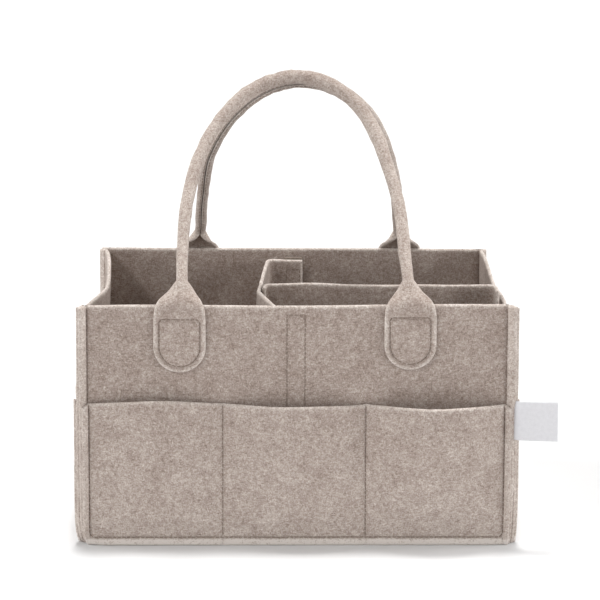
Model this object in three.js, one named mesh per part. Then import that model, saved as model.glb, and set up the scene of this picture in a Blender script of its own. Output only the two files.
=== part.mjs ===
// Felt caddy: an open box of sewn felt with outside pockets, two handles and a lift-out divider.
// Millimetres. X runs right, Y runs to the back, Z runs up, the origin is under the middle of the base.
import * as THREE from 'three';

// Driving sizes
const overallWidth = 330;        // over the side seams at the rim
const overallDepth = 230;
const rimHeight = 184.3;
const flare = 2.3;               // how much further out each end wall stands at the floor than at the rim
const felt = 3;                  // thickness of one layer of felt
const layerGap = 0.3;            // air left between two layers that are sewn face to face
const seamAllowance = 6.5;       // raw edge outside a corner seam, from the inner crease to the cut edge
const floorAllowance = 5.3;      // raw edge outside the bottom seam
const cornerAllowance = 3.25;    // raw edge left where two seams meet at a bottom corner
const cornerRun = 14;            // length over which the raw edge grows back to its full width
const cornerClip = 2.3;          // how much the base is cut off at its corners
const edgeDrop = 2;              // how far the top of a raw edge slopes down to its tip
const sideDip = 18;              // depth of the scoop in the top edge of a side wall
const dipPost = 10;              // level length beside each corner before the scoop starts
const dipRamp = 60;              // length over which the scoop falls to its full depth
const sideBow = 4;               // how far a side wall bows out at the middle of its top edge
const pocketHeight = 110;        // top of the outside pockets above the floor
const pocketSeams = [-54.8, 51]; // upright seams that part a long wall's pocket in three
const frontBulge = [6, 8.5, 15]; // how far each front pocket stands open, from left to right
const frontCrown = [3.3, 0, 0];  // how far each front pocket's edge rises between its seams
const backBulge = [8, 8.5, 8];
const backCrown = [0, 0, 0];
const sideBulge = 9;
const legSpacing = 170;          // between the two legs of a handle
const frontHandleShift = -1.6;   // handles are sewn on by eye and sit a little off centre
const backHandleShift = 4;
const tabWidth = 38.5;
const tabBottom = 134;
const hingeRise = 2;             // height of a handle's fold above the rim
const handleReach = 185.7;       // from the fold to the middle of the grip, along the handle
const shoulderHeight = 18.5;     // length over which the flat tab rolls up into a tube
const legDiameter = 9;
const gripDiameter = 11.2;
const gripCentre = 2.5;          // depth of the tube's centre behind the tab's outer face
const coreDiameter = 3.8;        // cord inside the grip
const handleGap = 0.8;           // air between the two grips where they meet
const tape = 1.2;                // thickness of hook-and-loop tape
const tapeWidth = 13.4;
const tapeCentre = -0.8;         // where the long walls' tape is sewn, across the width
const tapeBottom = 10;
const sideTapeDrop = 6;          // from the bottom of the scoop down to the side wall's tape
const hookBottom = 40;
const hookDrop = 8;              // from the top of the divider down to its hook tape
const hookCut = 2;               // the side wall's hook tape is this much narrower than its loop tape
const dividerDrop = 7.3;         // from the rim down to the top of the divider
const dividerX = -22;            // cross panel at the back wall
const dividerBendX = -28.5;      // where the cross panel turns towards the front tape
const dividerBendY = -22;
const frontFlapStart = -10;      // where it meets the front wall
const flapLength = 20;           // flap beside a wall, measured from its bend
const backFlapLength = 29;
const joinFlap = 14;             // flap of the long panel that is sewn to the cross panel
const sweepRadius = 30;          // bends of the divider, seen from above
const flapRadius = 8;
const sideFlapRadius = 7;
const joinRadius = 3.2;
const tagHeight = 29;
const tagTop = 111;
const tagReach = 31;             // how far the tag stands out of its seam
const tagTurn = 15.5;            // length over which it turns to the side
const tagThickness = 1;

// Angles, shares and powers that shape the soft forms
const closedCurl = 5.98;         // angle that the rolled felt turns through, just short of a full turn
const leastCurl = 0.02;          // a flat tab is treated as a very shallow curl
const coreStart = Math.PI * 0.2; // angle along the arch where the cord starts
const neckTaper = 1.25;          // how late the tab narrows as it rises
const neckCurl = 1.8;            // how late it curls
const gripSwell = 0.8;           // how soon the tube reaches the grip's diameter
const archFullness = 0.065;      // how much wider the arch is than a half ellipse, near its top
const tagEndAngle = 0.15;        // the tag's end still points a little forwards
const followStart = 0.6;         // share of the long divider from which it follows the side wall's bow
const followRun = 0.35;

// How finely the sheets are divided
const sideColumns = 24;
const sideRows = [0.3, 0.5, 0.7, 0.85, 1];
const cellColumns = 8;
const sideCellColumns = 16;
const pocketRows = [0, 0.12, 0.26, 0.42, 0.6, 0.8, 1];
const shoulderSteps = 7;
const archSteps = 36;
const coverColumns = 12;
const coreSides = 4;
const tabColumns = 14;
const tapeRows = 8;
const bendSteps = 6;
const dividerRows = 8;
const tagColumns = 10;

// Derived sizes
const root2 = Math.SQRT2;
const firstLayer = layerGap / 2;
const secondLayer = firstLayer + felt + layerGap;
const outside = secondLayer + felt;
const halfWidth = overallWidth / 2 - (seamAllowance + outside) / root2;
const halfDepth = overallDepth / 2 - (seamAllowance + outside) / root2;
const floorLevel = (floorAllowance - firstLayer) / root2; // wall edges just reach the floor
const dividerTop = rimHeight - dividerDrop;
const tapeTop = dividerTop;
const hingeHeight = rimHeight + hingeRise;
const hingeOut = halfDepth + outside;
const archHeight = handleReach - shoulderHeight;
const meetOut = hingeOut - gripDiameter / 2 - handleGap / 2;
const lean = Math.asin(meetOut / Math.hypot(handleReach, gripCentre)) - Math.atan2(gripCentre, handleReach);

const clamp01 = (x) => Math.min(1, Math.max(0, x));
const smooth = (x) => clamp01(x) ** 2 * (3 - 2 * clamp01(x));
const lerp = (a, b, s) => a + (b - a) * s;
const spread = (count, from, to) => Array.from({ length: count + 1 }, (_, k) => lerp(from, to, k / count));

// Places on the object: u runs along a wall, v up it and n out of it, from the clear inside of the box
const place = (u, v, n, origin) => new THREE.Matrix4().makeBasis(u, v, n).setPosition(origin);
const vec = (x, y, z) => new THREE.Vector3(x, y, z);
const onFront = place(vec(1, 0, 0), vec(0, 0, 1), vec(0, -1, 0), vec(0, -halfDepth, 0));
const onBack = place(vec(-1, 0, 0), vec(0, 0, 1), vec(0, 1, 0), vec(0, halfDepth, 0));
const onLeft = place(vec(0, -1, 0), vec(0, 0, 1), vec(-1, 0, 0), vec(-halfWidth, 0, 0));
const onRight = place(vec(0, 1, 0), vec(0, 0, 1), vec(1, 0, 0), vec(halfWidth, 0, 0));
const inBox = new THREE.Matrix4();
const halfTurn = new THREE.Matrix4().makeRotationZ(Math.PI);

// A closed sheet on a grid: at(i, j, face) gives a point of face 0 (inside) or face 1 (outside)
function sheet(columns, rows, at, matrix) {
  const points = [];
  const triangles = [];
  const index = (i, j, face) => (face * (rows + 1) + j) * (columns + 1) + i;
  for (const face of [0, 1]) {
    for (let j = 0; j <= rows; j++) {
      for (let i = 0; i <= columns; i++) points.push(...at(i, j, face));
    }
  }
  const quad = (a, b, c, d) => triangles.push(a, b, c, a, c, d);
  for (let j = 0; j < rows; j++) {
    for (let i = 0; i < columns; i++) {
      // The fold between two raw edges runs from the corner to the middle
      const rising = i < columns / 2 === j < rows / 2;
      for (const face of [0, 1]) {
        const near = [index(i, j, face), index(i + 1, j, face)];
        const far = [index(i + 1, j + 1, face), index(i, j + 1, face)];
        const ring = [...near, ...far];
        if (!rising) ring.push(ring.shift());
        const [a, b, c, d] = ring;
        if (face) quad(a, b, c, d);
        else quad(a, d, c, b);
      }
    }
  }
  for (let i = 0; i < columns; i++) {
    quad(index(i, 0, 0), index(i + 1, 0, 0), index(i + 1, 0, 1), index(i, 0, 1));
    quad(index(i, rows, 1), index(i + 1, rows, 1), index(i + 1, rows, 0), index(i, rows, 0));
  }
  for (let j = 0; j < rows; j++) {
    quad(index(0, j, 0), index(0, j, 1), index(0, j + 1, 1), index(0, j + 1, 0));
    quad(index(columns, j, 1), index(columns, j, 0), index(columns, j + 1, 0), index(columns, j + 1, 1));
  }
  const geometry = new THREE.BufferGeometry();
  geometry.setAttribute('position', new THREE.Float32BufferAttribute(points, 3));
  geometry.setIndex(triangles);
  return geometry.applyMatrix4(matrix);
}

// Raw seam edges
// A wall's sheet lies at n = depth and folds out at 45 degrees along its ends and its bottom.
const foldAt = (half, depth) => half - depth * (root2 - 1);
const tipAt = (half, depth, allowance) => half + (allowance - depth) / root2;
const tipOut = (depth, allowance) => (allowance + depth) / root2;
const allowanceAt = (fromCorner, full) => lerp(cornerAllowance, full, smooth(fromCorner / cornerRun));
const floorFold = (depth) => floorLevel + depth * (root2 - 1);
const floorTip = (depth, allowance) => floorLevel - (allowance - depth) / root2;

// A wall or pocket sheet: across lists places between the folds from -1 to 1, up lists shares of the height
function wallSheet({ half, across, up, depth, topAt, swellAt, matrix }) {
  const columns = across.length + 1;
  const rows = up.length;
  const at = (i, j, face) => {
    const d = depth + face * felt;
    const side = i === 0 ? -1 : 1;
    const isEnd = i === 0 || i === columns;
    const u = foldAt(half, d) * (isEnd ? side : across[i - 1]);
    const low = floorFold(d);
    const top = topAt(u) - (isEnd ? edgeDrop : 0);
    const v = j === 0 ? low : lerp(low, top, up[j - 1]);
    if (isEnd && j === 0) {
      const tip = side * tipAt(half, d, cornerAllowance);
      return [tip, floorTip(d, cornerAllowance), tipOut(d, cornerAllowance)];
    }
    if (isEnd) {
      const edge = allowanceAt(v - low, seamAllowance);
      return [side * tipAt(half, d, edge), v, tipOut(d, edge)];
    }
    if (j === 0) {
      const edge = allowanceAt(half - Math.abs(u), floorAllowance);
      return [u, floorTip(d, edge), tipOut(d, edge)];
    }
    return [u, v, d + swellAt(u, (v - low) / (topAt(u) - low))];
  };
  return sheet(columns, rows, at, matrix);
}

// Walls
const flat = () => 0;
const trimShare = cornerRun / rimHeight;
const inset = (half) => 1 - cornerRun / half;
const sideTop = (u) => rimHeight - sideDip * smooth((halfDepth - dipPost - Math.abs(u)) / dipRamp);
const sideSwell = (u, rise) => sideBow * Math.cos((Math.PI * u) / (2 * halfDepth)) ** 2 * smooth(rise);

const longWall = (matrix) => wallSheet({
  half: halfWidth,
  across: [-1, -inset(halfWidth), inset(halfWidth), 1],
  up: [0, trimShare, 1],
  depth: firstLayer,
  topAt: () => rimHeight,
  swellAt: flat,
  matrix,
});

const sideWall = (matrix) => wallSheet({
  half: halfDepth,
  across: spread(sideColumns, -1, 1),
  up: [0, trimShare, ...sideRows],
  depth: firstLayer,
  topAt: sideTop,
  swellAt: sideSwell,
  matrix,
});

// Base: a thicker plate whose edges are squeezed to 45 degrees in the bottom seam
function basePanel() {
  const topEdge = (half) => foldAt(half, firstLayer);
  const floorEdge = (half) => half + floorLevel - firstLayer * root2;
  const reach = [-1, -1, 1, 1];
  const at = (i, j, face) => {
    const edge = face ? floorEdge : topEdge;
    const cut = (k, m) => (k === 0 || k === 3) && (m === 0 || m === 3) ? cornerClip : 0;
    const along = (k, half) => reach[k] * (edge(half) - (k === 1 || k === 2 ? cornerRun : 0));
    const u = along(i, halfWidth) - reach[i] * cut(i, j);
    const v = along(j, halfDepth) - reach[j] * cut(i, j);
    return [u, v, face ? floorLevel : firstLayer];
  };
  const underneath = place(vec(1, 0, 0), vec(0, -1, 0), vec(0, 0, -1), vec(0, 0, floorLevel));
  return sheet(3, 3, at, underneath);
}

// Pockets: each cell stands open in an arc between two seams
function cells(edges, perCell) {
  const shares = [];
  for (let k = 0; k + 1 < edges.length; k++) {
    shares.push(...spread(perCell, edges[k], edges[k + 1]).slice(k ? 1 : 0));
  }
  return shares;
}
const arcOf = (u, edges, heights) => {
  const k = Math.max(0, edges.findIndex((edge, n) => n + 1 < edges.length && u <= edges[n + 1] + 1e-6));
  const w = clamp01((u - edges[k]) / (edges[k + 1] - edges[k]));
  return 4 * w * (1 - w) * heights[k];
};
const opening = (rise) => Math.sin((Math.PI / 2) * clamp01(rise));

function longPocket(matrix, seams, bulge, crown) {
  const width = foldAt(halfWidth, secondLayer);
  const edges = [-width, ...seams, width];
  return wallSheet({
    half: halfWidth,
    across: cells(edges.map((edge) => edge / width), cellColumns),
    up: pocketRows,
    depth: secondLayer,
    topAt: (u) => pocketHeight + arcOf(u, edges, crown),
    swellAt: (u, rise) => arcOf(u, edges, bulge) * opening(rise),
    matrix,
  });
}

function sidePocket(matrix) {
  const width = foldAt(halfDepth, secondLayer);
  const edges = [-width, width];
  const wallRise = (u, rise) => rise * pocketHeight / sideTop(u);
  return wallSheet({
    half: halfDepth,
    across: cells([-1, 1], sideCellColumns),
    up: pocketRows,
    depth: secondLayer,
    topAt: () => pocketHeight,
    swellAt: (u, rise) => sideSwell(u, wallRise(u, rise)) + arcOf(u, edges, [sideBulge]) * opening(rise),
    matrix,
  });
}

// Handles
// A handle is drawn flat: x across, h up from its fold, d in from the tab's outer face; then it leans in.
const leaned = (x, h, d, shift) => [
  x + shift,
  -hingeOut + h * Math.sin(lean) + d * Math.cos(lean),
  hingeHeight + h * Math.cos(lean) - d * Math.sin(lean),
];

// One cross-section of the rolled strip: share is 0 on the flat tab and 1 where the tube has closed
function shoulder(share, side) {
  const width = lerp(tabWidth, legDiameter, share ** neckTaper);
  const curl = Math.max(leastCurl, closedCurl * share ** neckCurl);
  const radius = width / (2 * Math.sin(Math.min(curl, Math.PI) / 2)) - felt / 2;
  const neck = (legDiameter - felt) / 2;
  const front = lerp(felt / 2, gripCentre - neck, share ** 2);
  return { x: side * legSpacing / 2, h: share * shoulderHeight, along: [0, -side], curl, radius, front };
}

function arch(angle) {
  const across = Math.cos(angle);
  const up = Math.sin(angle);
  const radius = (lerp(legDiameter, gripDiameter, up ** gripSwell) - felt) / 2;
  const slope = [(legSpacing / 2) * (up + archFullness * (up ** 2 - across ** 2)), archHeight * across];
  const length = Math.hypot(...slope);
  return {
    x: -(legSpacing / 2) * across * (1 + archFullness * up),
    h: shoulderHeight + archHeight * up,
    along: slope.map((s) => s / length),
    curl: closedCurl,
    radius,
    front: gripCentre - radius,
  };
}

const shoulderShares = spread(shoulderSteps, 0, 1).slice(0, -1);
const archAngles = spread(archSteps, 0, Math.PI);
const handleSections = [
  ...shoulderShares.map((share) => shoulder(share, -1)),
  ...archAngles.map(arch),
  ...shoulderShares.map((share) => shoulder(share, 1)).reverse(),
];

function handleCover(shift, matrix) {
  const at = (i, j, face) => {
    const { x, h, along, curl, radius, front } = handleSections[j];
    const turn = curl * (i / coverColumns - 0.5);
    const reach = radius + (face - 0.5) * felt;
    const sideways = reach * Math.sin(turn);
    const inward = front + radius - reach * Math.cos(turn);
    return leaned(x + along[1] * sideways, h - along[0] * sideways, inward, shift);
  };
  return sheet(coverColumns, handleSections.length - 1, at, matrix);
}

function handleCore(shift, matrix) {
  const path = new THREE.Curve();
  path.getPoint = (s, target = new THREE.Vector3()) => {
    const { x, h } = arch(lerp(coreStart, Math.PI - coreStart, s));
    return target.set(...leaned(x, h, gripCentre, shift));
  };
  const round = new THREE.Shape().absarc(0, 0, coreDiameter / 2, 0, 2 * Math.PI);
  const options = { steps: archSteps, extrudePath: path, curveSegments: coreSides, bevelEnabled: false };
  return new THREE.ExtrudeGeometry(round, options).applyMatrix4(matrix);
}

// The flat end of a handle, sewn to the wall under the rim, with a top edge cut to the handle's lean
function handleTab(centre, matrix) {
  const radius = tabWidth / 2;
  const at = (i, j, face) => {
    const u = -radius * Math.cos((Math.PI * i) / tabColumns);
    const low = tabBottom + radius - Math.sqrt(Math.max(0, radius ** 2 - u ** 2));
    const high = hingeHeight - layerGap / Math.cos(lean) - (1 - face) * felt * Math.tan(lean);
    return [centre + u, j ? high : low, secondLayer + face * felt];
  };
  return sheet(tabColumns, 1, at, matrix);
}

// Hook-and-loop tape, a strip that follows a wall's inside at the given depth
function tapeStrip({ from, to, low, high, depth, swellAt, matrix }) {
  const at = (i, j, face) => {
    const u = lerp(from, to, i / 2);
    const v = lerp(low, high, j / tapeRows);
    return [u, v, depth - (1 - face) * tape + swellAt(u, v)];
  };
  return sheet(2, tapeRows, at, matrix);
}
const loopDepth = -firstLayer;
const hookDepth = loopDepth - tape - layerGap;
const flapDepth = hookDepth - tape - layerGap - felt / 2;
const sideSwellAt = (u, v) => sideSwell(u, (v - floorLevel) / (sideTop(u) - floorLevel));

function longWallTape(matrix, side, low, high, depth) {
  const centre = side * tapeCentre;
  return tapeStrip({
    from: centre - tapeWidth / 2, to: centre + tapeWidth / 2, low, high, depth, swellAt: flat, matrix,
  });
}
const sideTapeCentre = -flapLength + tapeWidth / 2 - hookCut;
const sideTapeTop = sideTop(0) - sideTapeDrop;
function sideWallTape(low, high, depth, width) {
  return tapeStrip({
    from: sideTapeCentre - width / 2, to: sideTapeCentre + width / 2, low, high, depth, swellAt: sideSwellAt,
    matrix: onRight,
  });
}

// Divider
// A path with rounded corners: corners are [x, y, radius]
function roundedPath(corners) {
  const path = [];
  corners.forEach(([x, y, radius], k) => {
    if (!radius) return path.push([x, y]);
    const corner = new THREE.Vector2(x, y);
    const back = new THREE.Vector2(...corners[k - 1].slice(0, 2)).sub(corner).normalize();
    const ahead = new THREE.Vector2(...corners[k + 1].slice(0, 2)).sub(corner).normalize();
    const bend = (Math.PI - Math.acos(back.dot(ahead))) / 2;
    const length = radius * Math.tan(bend);
    const start = corner.clone().addScaledVector(back, length);
    const end = corner.clone().addScaledVector(ahead, length);
    const curve = new THREE.QuadraticBezierCurve(start, corner, end);
    return path.push(...curve.getPoints(bendSteps).map((p) => [p.x, p.y]));
  });
  return path;
}

// An upright felt strip along a path seen from above
function uprightStrip(path, low, high, rows, shiftAt) {
  const normals = path.map((p, k) => {
    const before = path[Math.max(0, k - 1)];
    const after = path[Math.min(path.length - 1, k + 1)];
    const run = new THREE.Vector2(after[0] - before[0], after[1] - before[1]).normalize();
    return [run.y, -run.x];
  });
  const at = (i, j, face) => {
    const z = lerp(low, high, j / rows);
    const reach = (face - 0.5) * felt;
    const x = path[i][0] + normals[i][0] * reach;
    const y = path[i][1] + normals[i][1] * reach;
    return [x + shiftAt(x, y, z), y, z];
  };
  return sheet(path.length - 1, rows, at, inBox);
}

const flapOut = halfDepth + flapDepth;
const dividerBottom = floorLevel + layerGap;
const crossAt = (y) => lerp(dividerX, dividerBendX, (flapOut - y) / (flapOut - dividerBendY));
const joinAt = (y) => crossAt(y) + felt + layerGap;

function crossDivider() {
  const path = roundedPath([
    [frontFlapStart + flapLength, -flapOut, 0],
    [frontFlapStart, -flapOut, flapRadius],
    [dividerBendX, dividerBendY, sweepRadius],
    [dividerX, flapOut, flapRadius],
    [dividerX + backFlapLength, flapOut, 0],
  ]);
  return uprightStrip(path, dividerBottom, dividerTop, 1, flat);
}

function longDivider() {
  const sideFlap = halfWidth + flapDepth;
  const path = roundedPath([
    [joinAt(-joinFlap), -joinFlap, 0],
    [joinAt(0), 0, joinRadius],
    [sideFlap, 0, sideFlapRadius],
    [sideFlap, -flapLength - hookCut, 0],
  ]);
  const follow = (x, y, z) => smooth((x / sideFlap - followStart) / followRun) * sideSwellAt(y, z);
  return uprightStrip(path, dividerBottom, dividerTop, dividerRows, follow);
}

// Tag: a folded ribbon that leaves the right front seam at 45 degrees and turns to the side
function labelTag() {
  const start = seamAllowance + layerGap;
  const step = tagReach / tagColumns;
  const headingAt = (k) => lerp(Math.PI / 4, tagEndAngle, smooth((k * step) / tagTurn));
  const path = [[halfWidth + start / root2, -halfDepth - start / root2]];
  for (let k = 1; k <= tagColumns; k++) {
    const [x, y] = path[k - 1];
    path.push([x + step * Math.cos(headingAt(k)), y - step * Math.sin(headingAt(k))]);
  }
  const at = (i, j, face) => {
    const reach = (face - 0.5) * tagThickness;
    const [x, y] = path[i];
    const z = j ? tagTop : tagTop - tagHeight;
    return [x - reach * Math.sin(headingAt(i)), y - reach * Math.cos(headingAt(i)), z];
  };
  return sheet(tagColumns, 1, at, inBox);
}

// Assembly
const feltColour = 0xab9e94;
const insideColour = 0x9d9087;
const tapeColour = 0x8f857c;
const tagColour = 0xe9e9ec;
const cordColour = 0xd8d2c8;

// Everything below the rim stands a little wider towards the floor
function flared(geometry) {
  const points = geometry.attributes.position;
  for (let k = 0; k < points.count; k++) {
    const depth = 1 - Math.min(points.getZ(k), rimHeight) / rimHeight;
    points.setX(k, points.getX(k) * (1 + (2 * flare / overallWidth) * depth));
  }
  geometry.computeVertexNormals();
  return geometry;
}

function piece(name, geometry, colour) {
  const material = new THREE.MeshStandardMaterial({ color: colour, roughness: 0.95 });
  material.name = name;
  const mesh = new THREE.Mesh(flared(geometry), material);
  mesh.name = name;
  return mesh;
}

function assembly(name, pieces) {
  const group = new THREE.Group();
  group.name = name;
  group.add(...pieces);
  return group;
}

const mirrored = (list) => list.map((x) => -x).reverse();
const leg = legSpacing / 2;
const box = assembly('caddy', [
  piece('base_panel', basePanel(), feltColour),
  piece('front_panel', longWall(onFront), feltColour),
  piece('back_panel', longWall(onBack), feltColour),
  piece('left_side_panel', sideWall(onLeft), feltColour),
  piece('right_side_panel', sideWall(onRight), feltColour),
  piece('front_pocket', longPocket(onFront, pocketSeams, frontBulge, frontCrown), feltColour),
  piece('back_pocket', longPocket(onBack, mirrored(pocketSeams), backBulge, backCrown), feltColour),
  piece('left_side_pocket', sidePocket(onLeft), feltColour),
  piece('right_side_pocket', sidePocket(onRight), feltColour),
  piece('front_left_tab', handleTab(frontHandleShift - leg, onFront), feltColour),
  piece('front_right_tab', handleTab(frontHandleShift + leg, onFront), feltColour),
  piece('back_left_tab', handleTab(-backHandleShift + leg, onBack), feltColour),
  piece('back_right_tab', handleTab(-backHandleShift - leg, onBack), feltColour),
  piece('front_loop_tape', longWallTape(onFront, 1, tapeBottom, tapeTop, loopDepth), tapeColour),
  piece('back_loop_tape', longWallTape(onBack, -1, tapeBottom, tapeTop, loopDepth), tapeColour),
  piece('side_loop_tape', sideWallTape(tapeBottom, sideTapeTop, loopDepth, tapeWidth), tapeColour),
  piece('label_tag', labelTag(), tagColour),
]);

const frontHandle = assembly('front_handle', [
  piece('front_handle_cover', handleCover(frontHandleShift, inBox), feltColour),
  piece('front_handle_core', handleCore(frontHandleShift, inBox), cordColour),
]);

const backHandle = assembly('back_handle', [
  piece('back_handle_cover', handleCover(-backHandleShift, halfTurn), feltColour),
  piece('back_handle_core', handleCore(-backHandleShift, halfTurn), cordColour),
]);

const hookTop = dividerTop - hookDrop;
const divider = assembly('divider', [
  piece('cross_divider', crossDivider(), insideColour),
  piece('long_divider', longDivider(), insideColour),
  piece('front_hook_tape', longWallTape(onFront, 1, hookBottom, hookTop, hookDepth), tapeColour),
  piece('back_hook_tape', longWallTape(onBack, -1, hookBottom, hookTop, hookDepth), tapeColour),
  piece('side_hook_tape', sideWallTape(hookBottom, sideTapeTop, hookDepth, tapeWidth - hookCut), tapeColour),
]);

export default assembly('felt_caddy', [box, frontHandle, backHandle, divider]);
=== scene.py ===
import math
from types import SimpleNamespace

import bpy
import numpy as np
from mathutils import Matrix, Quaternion, Vector
from mathutils.bvhtree import BVHTree

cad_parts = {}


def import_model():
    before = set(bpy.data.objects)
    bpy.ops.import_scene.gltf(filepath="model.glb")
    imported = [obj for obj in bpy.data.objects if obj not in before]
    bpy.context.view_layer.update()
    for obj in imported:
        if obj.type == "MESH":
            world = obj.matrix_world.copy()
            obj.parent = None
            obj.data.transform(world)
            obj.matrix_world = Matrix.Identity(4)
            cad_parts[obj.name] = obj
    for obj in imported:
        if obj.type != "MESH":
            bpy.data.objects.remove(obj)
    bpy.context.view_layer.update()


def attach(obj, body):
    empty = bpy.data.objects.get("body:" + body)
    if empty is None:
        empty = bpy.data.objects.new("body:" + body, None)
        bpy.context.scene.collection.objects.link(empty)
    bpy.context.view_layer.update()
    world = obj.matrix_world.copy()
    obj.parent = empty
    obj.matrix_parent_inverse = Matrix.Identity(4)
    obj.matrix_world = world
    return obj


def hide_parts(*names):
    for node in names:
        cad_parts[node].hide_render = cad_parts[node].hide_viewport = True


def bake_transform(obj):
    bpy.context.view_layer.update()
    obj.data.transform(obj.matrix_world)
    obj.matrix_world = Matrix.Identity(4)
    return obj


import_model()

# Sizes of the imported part
MM = 0.001
ROOT2 = math.sqrt(2)
OVERALL_WIDTH = 330.0
OVERALL_DEPTH = 230.0
RIM = 184.3
FLARE = 2.3  # how much further out each end wall stands at the floor than at the rim
FELT = 3.0
LAYER_GAP = 0.3
CORNER_EDGE = 6.5  # raw edge outside a corner seam
FLOOR_EDGE = 5.3  # raw edge outside the bottom seam
CORNER_CLIP = 2.3
SIDE_DIP = 18.0
DIP_POST = 10.0
DIP_RAMP = 60.0
POCKET = 110.0
POCKET_SEAMS = (-54.8, 51.0)
FRONT_BULGE = (6.0, 8.5, 15.0)
FRONT_CROWN = (3.3, 0.0, 0.0)
BACK_BULGE = (8.0, 8.5, 8.0)
BACK_CROWN = (0.0, 0.0, 0.0)
LEG_SPACING = 170.0
FRONT_SHIFT = -1.6
BACK_SHIFT = 4.0
TAB_WIDTH = 38.5
TAB_BOTTOM = 134.0
HINGE_RISE = 2.0
HANDLE_REACH = 185.7
ARCH_FULLNESS = 0.088  # drawn a little fuller than packed
SHOULDER = 18.5
FRONT_LEG = 8.2  # diameter of a leg, drawn a little thinner than packed
BACK_LEG = 9.6  # drawn a little thicker
GRIP_DIAMETER = 11.2
GRIP_CENTRE = 2.5
HANDLE_GAP = 0.8
CORE_DIAMETER = 3.8
CORE_START = math.pi * 0.2
TAPE = 1.2
TAPE_WIDTH = 13.4
LOOP_MARGIN = 0.8  # loop tape outside its row of stitches
TAPE_CENTRE = -0.8
TAPE_BOTTOM = 10.0
SIDE_TAPE_DROP = 6.0
HOOK_BOTTOM = 40.0
HOOK_DROP = 8.0
HOOK_CUT = 2.0
DIVIDER_DROP = 7.3
DIVIDER_X = -22.0
DIVIDER_BEND = (-28.5, -22.0)
FRONT_FLAP_START = -10.0
FLAP = 20.0
BACK_FLAP = 29.0
JOIN_FLAP = 14.0
SWEEP_RADIUS = 30.0
FLAP_RADIUS = 8.0
SIDE_FLAP_RADIUS = 7.0
JOIN_RADIUS = 3.2
FOLLOW_START = 0.6  # where the long panel starts to follow the right wall's bow
FOLLOW_RUN = 0.35
TAG_HEIGHT = 30.0  # drawn a little taller than packed
TAG_TOP = 112.4
TAG_REACH = 31.0
TAG_TURN = 15.5
TAG_END_ANGLE = 0.15

# Derived sizes
FIRST = LAYER_GAP / 2
SECOND = FIRST + FELT + LAYER_GAP
OUTSIDE = SECOND + FELT
HALF_WIDTH = OVERALL_WIDTH / 2 - (CORNER_EDGE + OUTSIDE) / ROOT2
HALF_DEPTH = OVERALL_DEPTH / 2 - (CORNER_EDGE + OUTSIDE) / ROOT2
FLOOR = (FLOOR_EDGE - FIRST) / ROOT2
DIVIDER_TOP = RIM - DIVIDER_DROP
HINGE_HEIGHT = RIM + HINGE_RISE
HINGE_OUT = HALF_DEPTH + OUTSIDE
TAB_RADIUS = TAB_WIDTH / 2
TAB_FOOT = TAB_BOTTOM - HINGE_HEIGHT  # from the fold at the rim
TAB_MIDDLE = TAB_FOOT + TAB_RADIUS
ARCH = HANDLE_REACH - SHOULDER
MEET_OUT = HINGE_OUT - GRIP_DIAMETER / 2 - HANDLE_GAP / 2
LEAN = math.asin(MEET_OUT / math.hypot(HANDLE_REACH, GRIP_CENTRE)) - math.atan2(GRIP_CENTRE, HANDLE_REACH)
FLAP_DEPTH = FIRST + 2 * TAPE + 2 * LAYER_GAP + FELT / 2
FLAP_OUT = HALF_DEPTH - FLAP_DEPTH
SIDE_FLAP_X = HALF_WIDTH - FLAP_DEPTH
JOIN_STEP = FELT + LAYER_GAP
LOOP_WIDTH = TAPE_WIDTH + 2 * LOOP_MARGIN
SIDE_TAPE_CENTRE = -FLAP + TAPE_WIDTH / 2 - HOOK_CUT
SIDE_TAPE_TOP = RIM - SIDE_DIP - SIDE_TAPE_DROP
HOOK_TOP = DIVIDER_TOP - HOOK_DROP
HOOK_BACK = -FIRST - 2 * TAPE - LAYER_GAP

# Soft detail of the felt that only the looks have
GRID = 2.8  # spacing of a sheet's points
FOLD_FINE = 0.35  # closest spacing, beside a fold or an upright seam
EDGE_FINE = 0.3  # closest spacing, beside a cut edge
EDGE_ROUND = 1.4  # depth of the softened corner of a cut edge
EDGE_STRETCH = 1.6  # how much wider than deep it is
EDGE_PRESSED = 0.12  # its depth where two layers are pressed together
EDGE_PARTED = 0.9  # its depth where they part again, low on a corner
PARTED_TOP = 55.0
PARTED_FADE = 40.0
FOLD_SOFT = 1.1  # rounding of the fold into a raw edge
LUMP = 0.07  # height of the felt's small lumps
LUMP_SIZE = 9.0
GROOVE = 0.7  # how deep a row of stitches sinks into the felt
GROOVE_WIDTH = 1.0
WALL_THROUGH = 0.4  # share of that on the other face, in walls and in pockets
POCKET_THROUGH = 0.3
TAB_DEEPER = 2.0  # how much deeper the rows on the tabs and on the pockets sink in
POCKET_DEEPER = 1.1
QUILT = 0.35  # how far the felt beside those rows is drawn down
QUILT_WIDTH = 2.6
CREASE = 1.3  # how deep the seams along a raw edge pull it in
CREASE_WIDTH = 0.85
SEAM_STEP = 0.3  # stitches of a corner or bottom seam, outside the crease
SEAM_ROUND = 4.5  # rounded corner where a corner seam meets the bottom seam
EDGE_GROWTH = 1.1  # raw edges are pressed out a little longer than they were cut
WALL_GROWTH = 1.3  # what the walls have more of that above the pockets, at the square corners
GROWTH_FADE = 8.0
EDGE_FADE = 2.0  # length over which felt takes on the looks of a raw edge
COVER_FADE = 4.0  # the same where a pocket starts to cover a wall's raw edge
FLOOR_BULGE = 2.8  # how far the bottom edge rolls out over the floor
FLOOR_TIP = 0.2  # its cut edge above the floor
ROUND_CORNER = (26.0, 1.0)  # height of the raw edges' rounding at the bottom, and how far it cuts in
SQUARE_CORNER = (45.0, 0.4)
CORNER_FADE = 14.0  # length over which the bottom edge stops rolling out, before a round corner
CORNER_PAST = 1.0  # how far past the fold that ends
WALL_DROP = 1.0  # how far the top of a raw edge slopes down to its tip
POCKET_DROP = 3.0
SIDE_POCKET_DROP = -3.0
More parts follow.
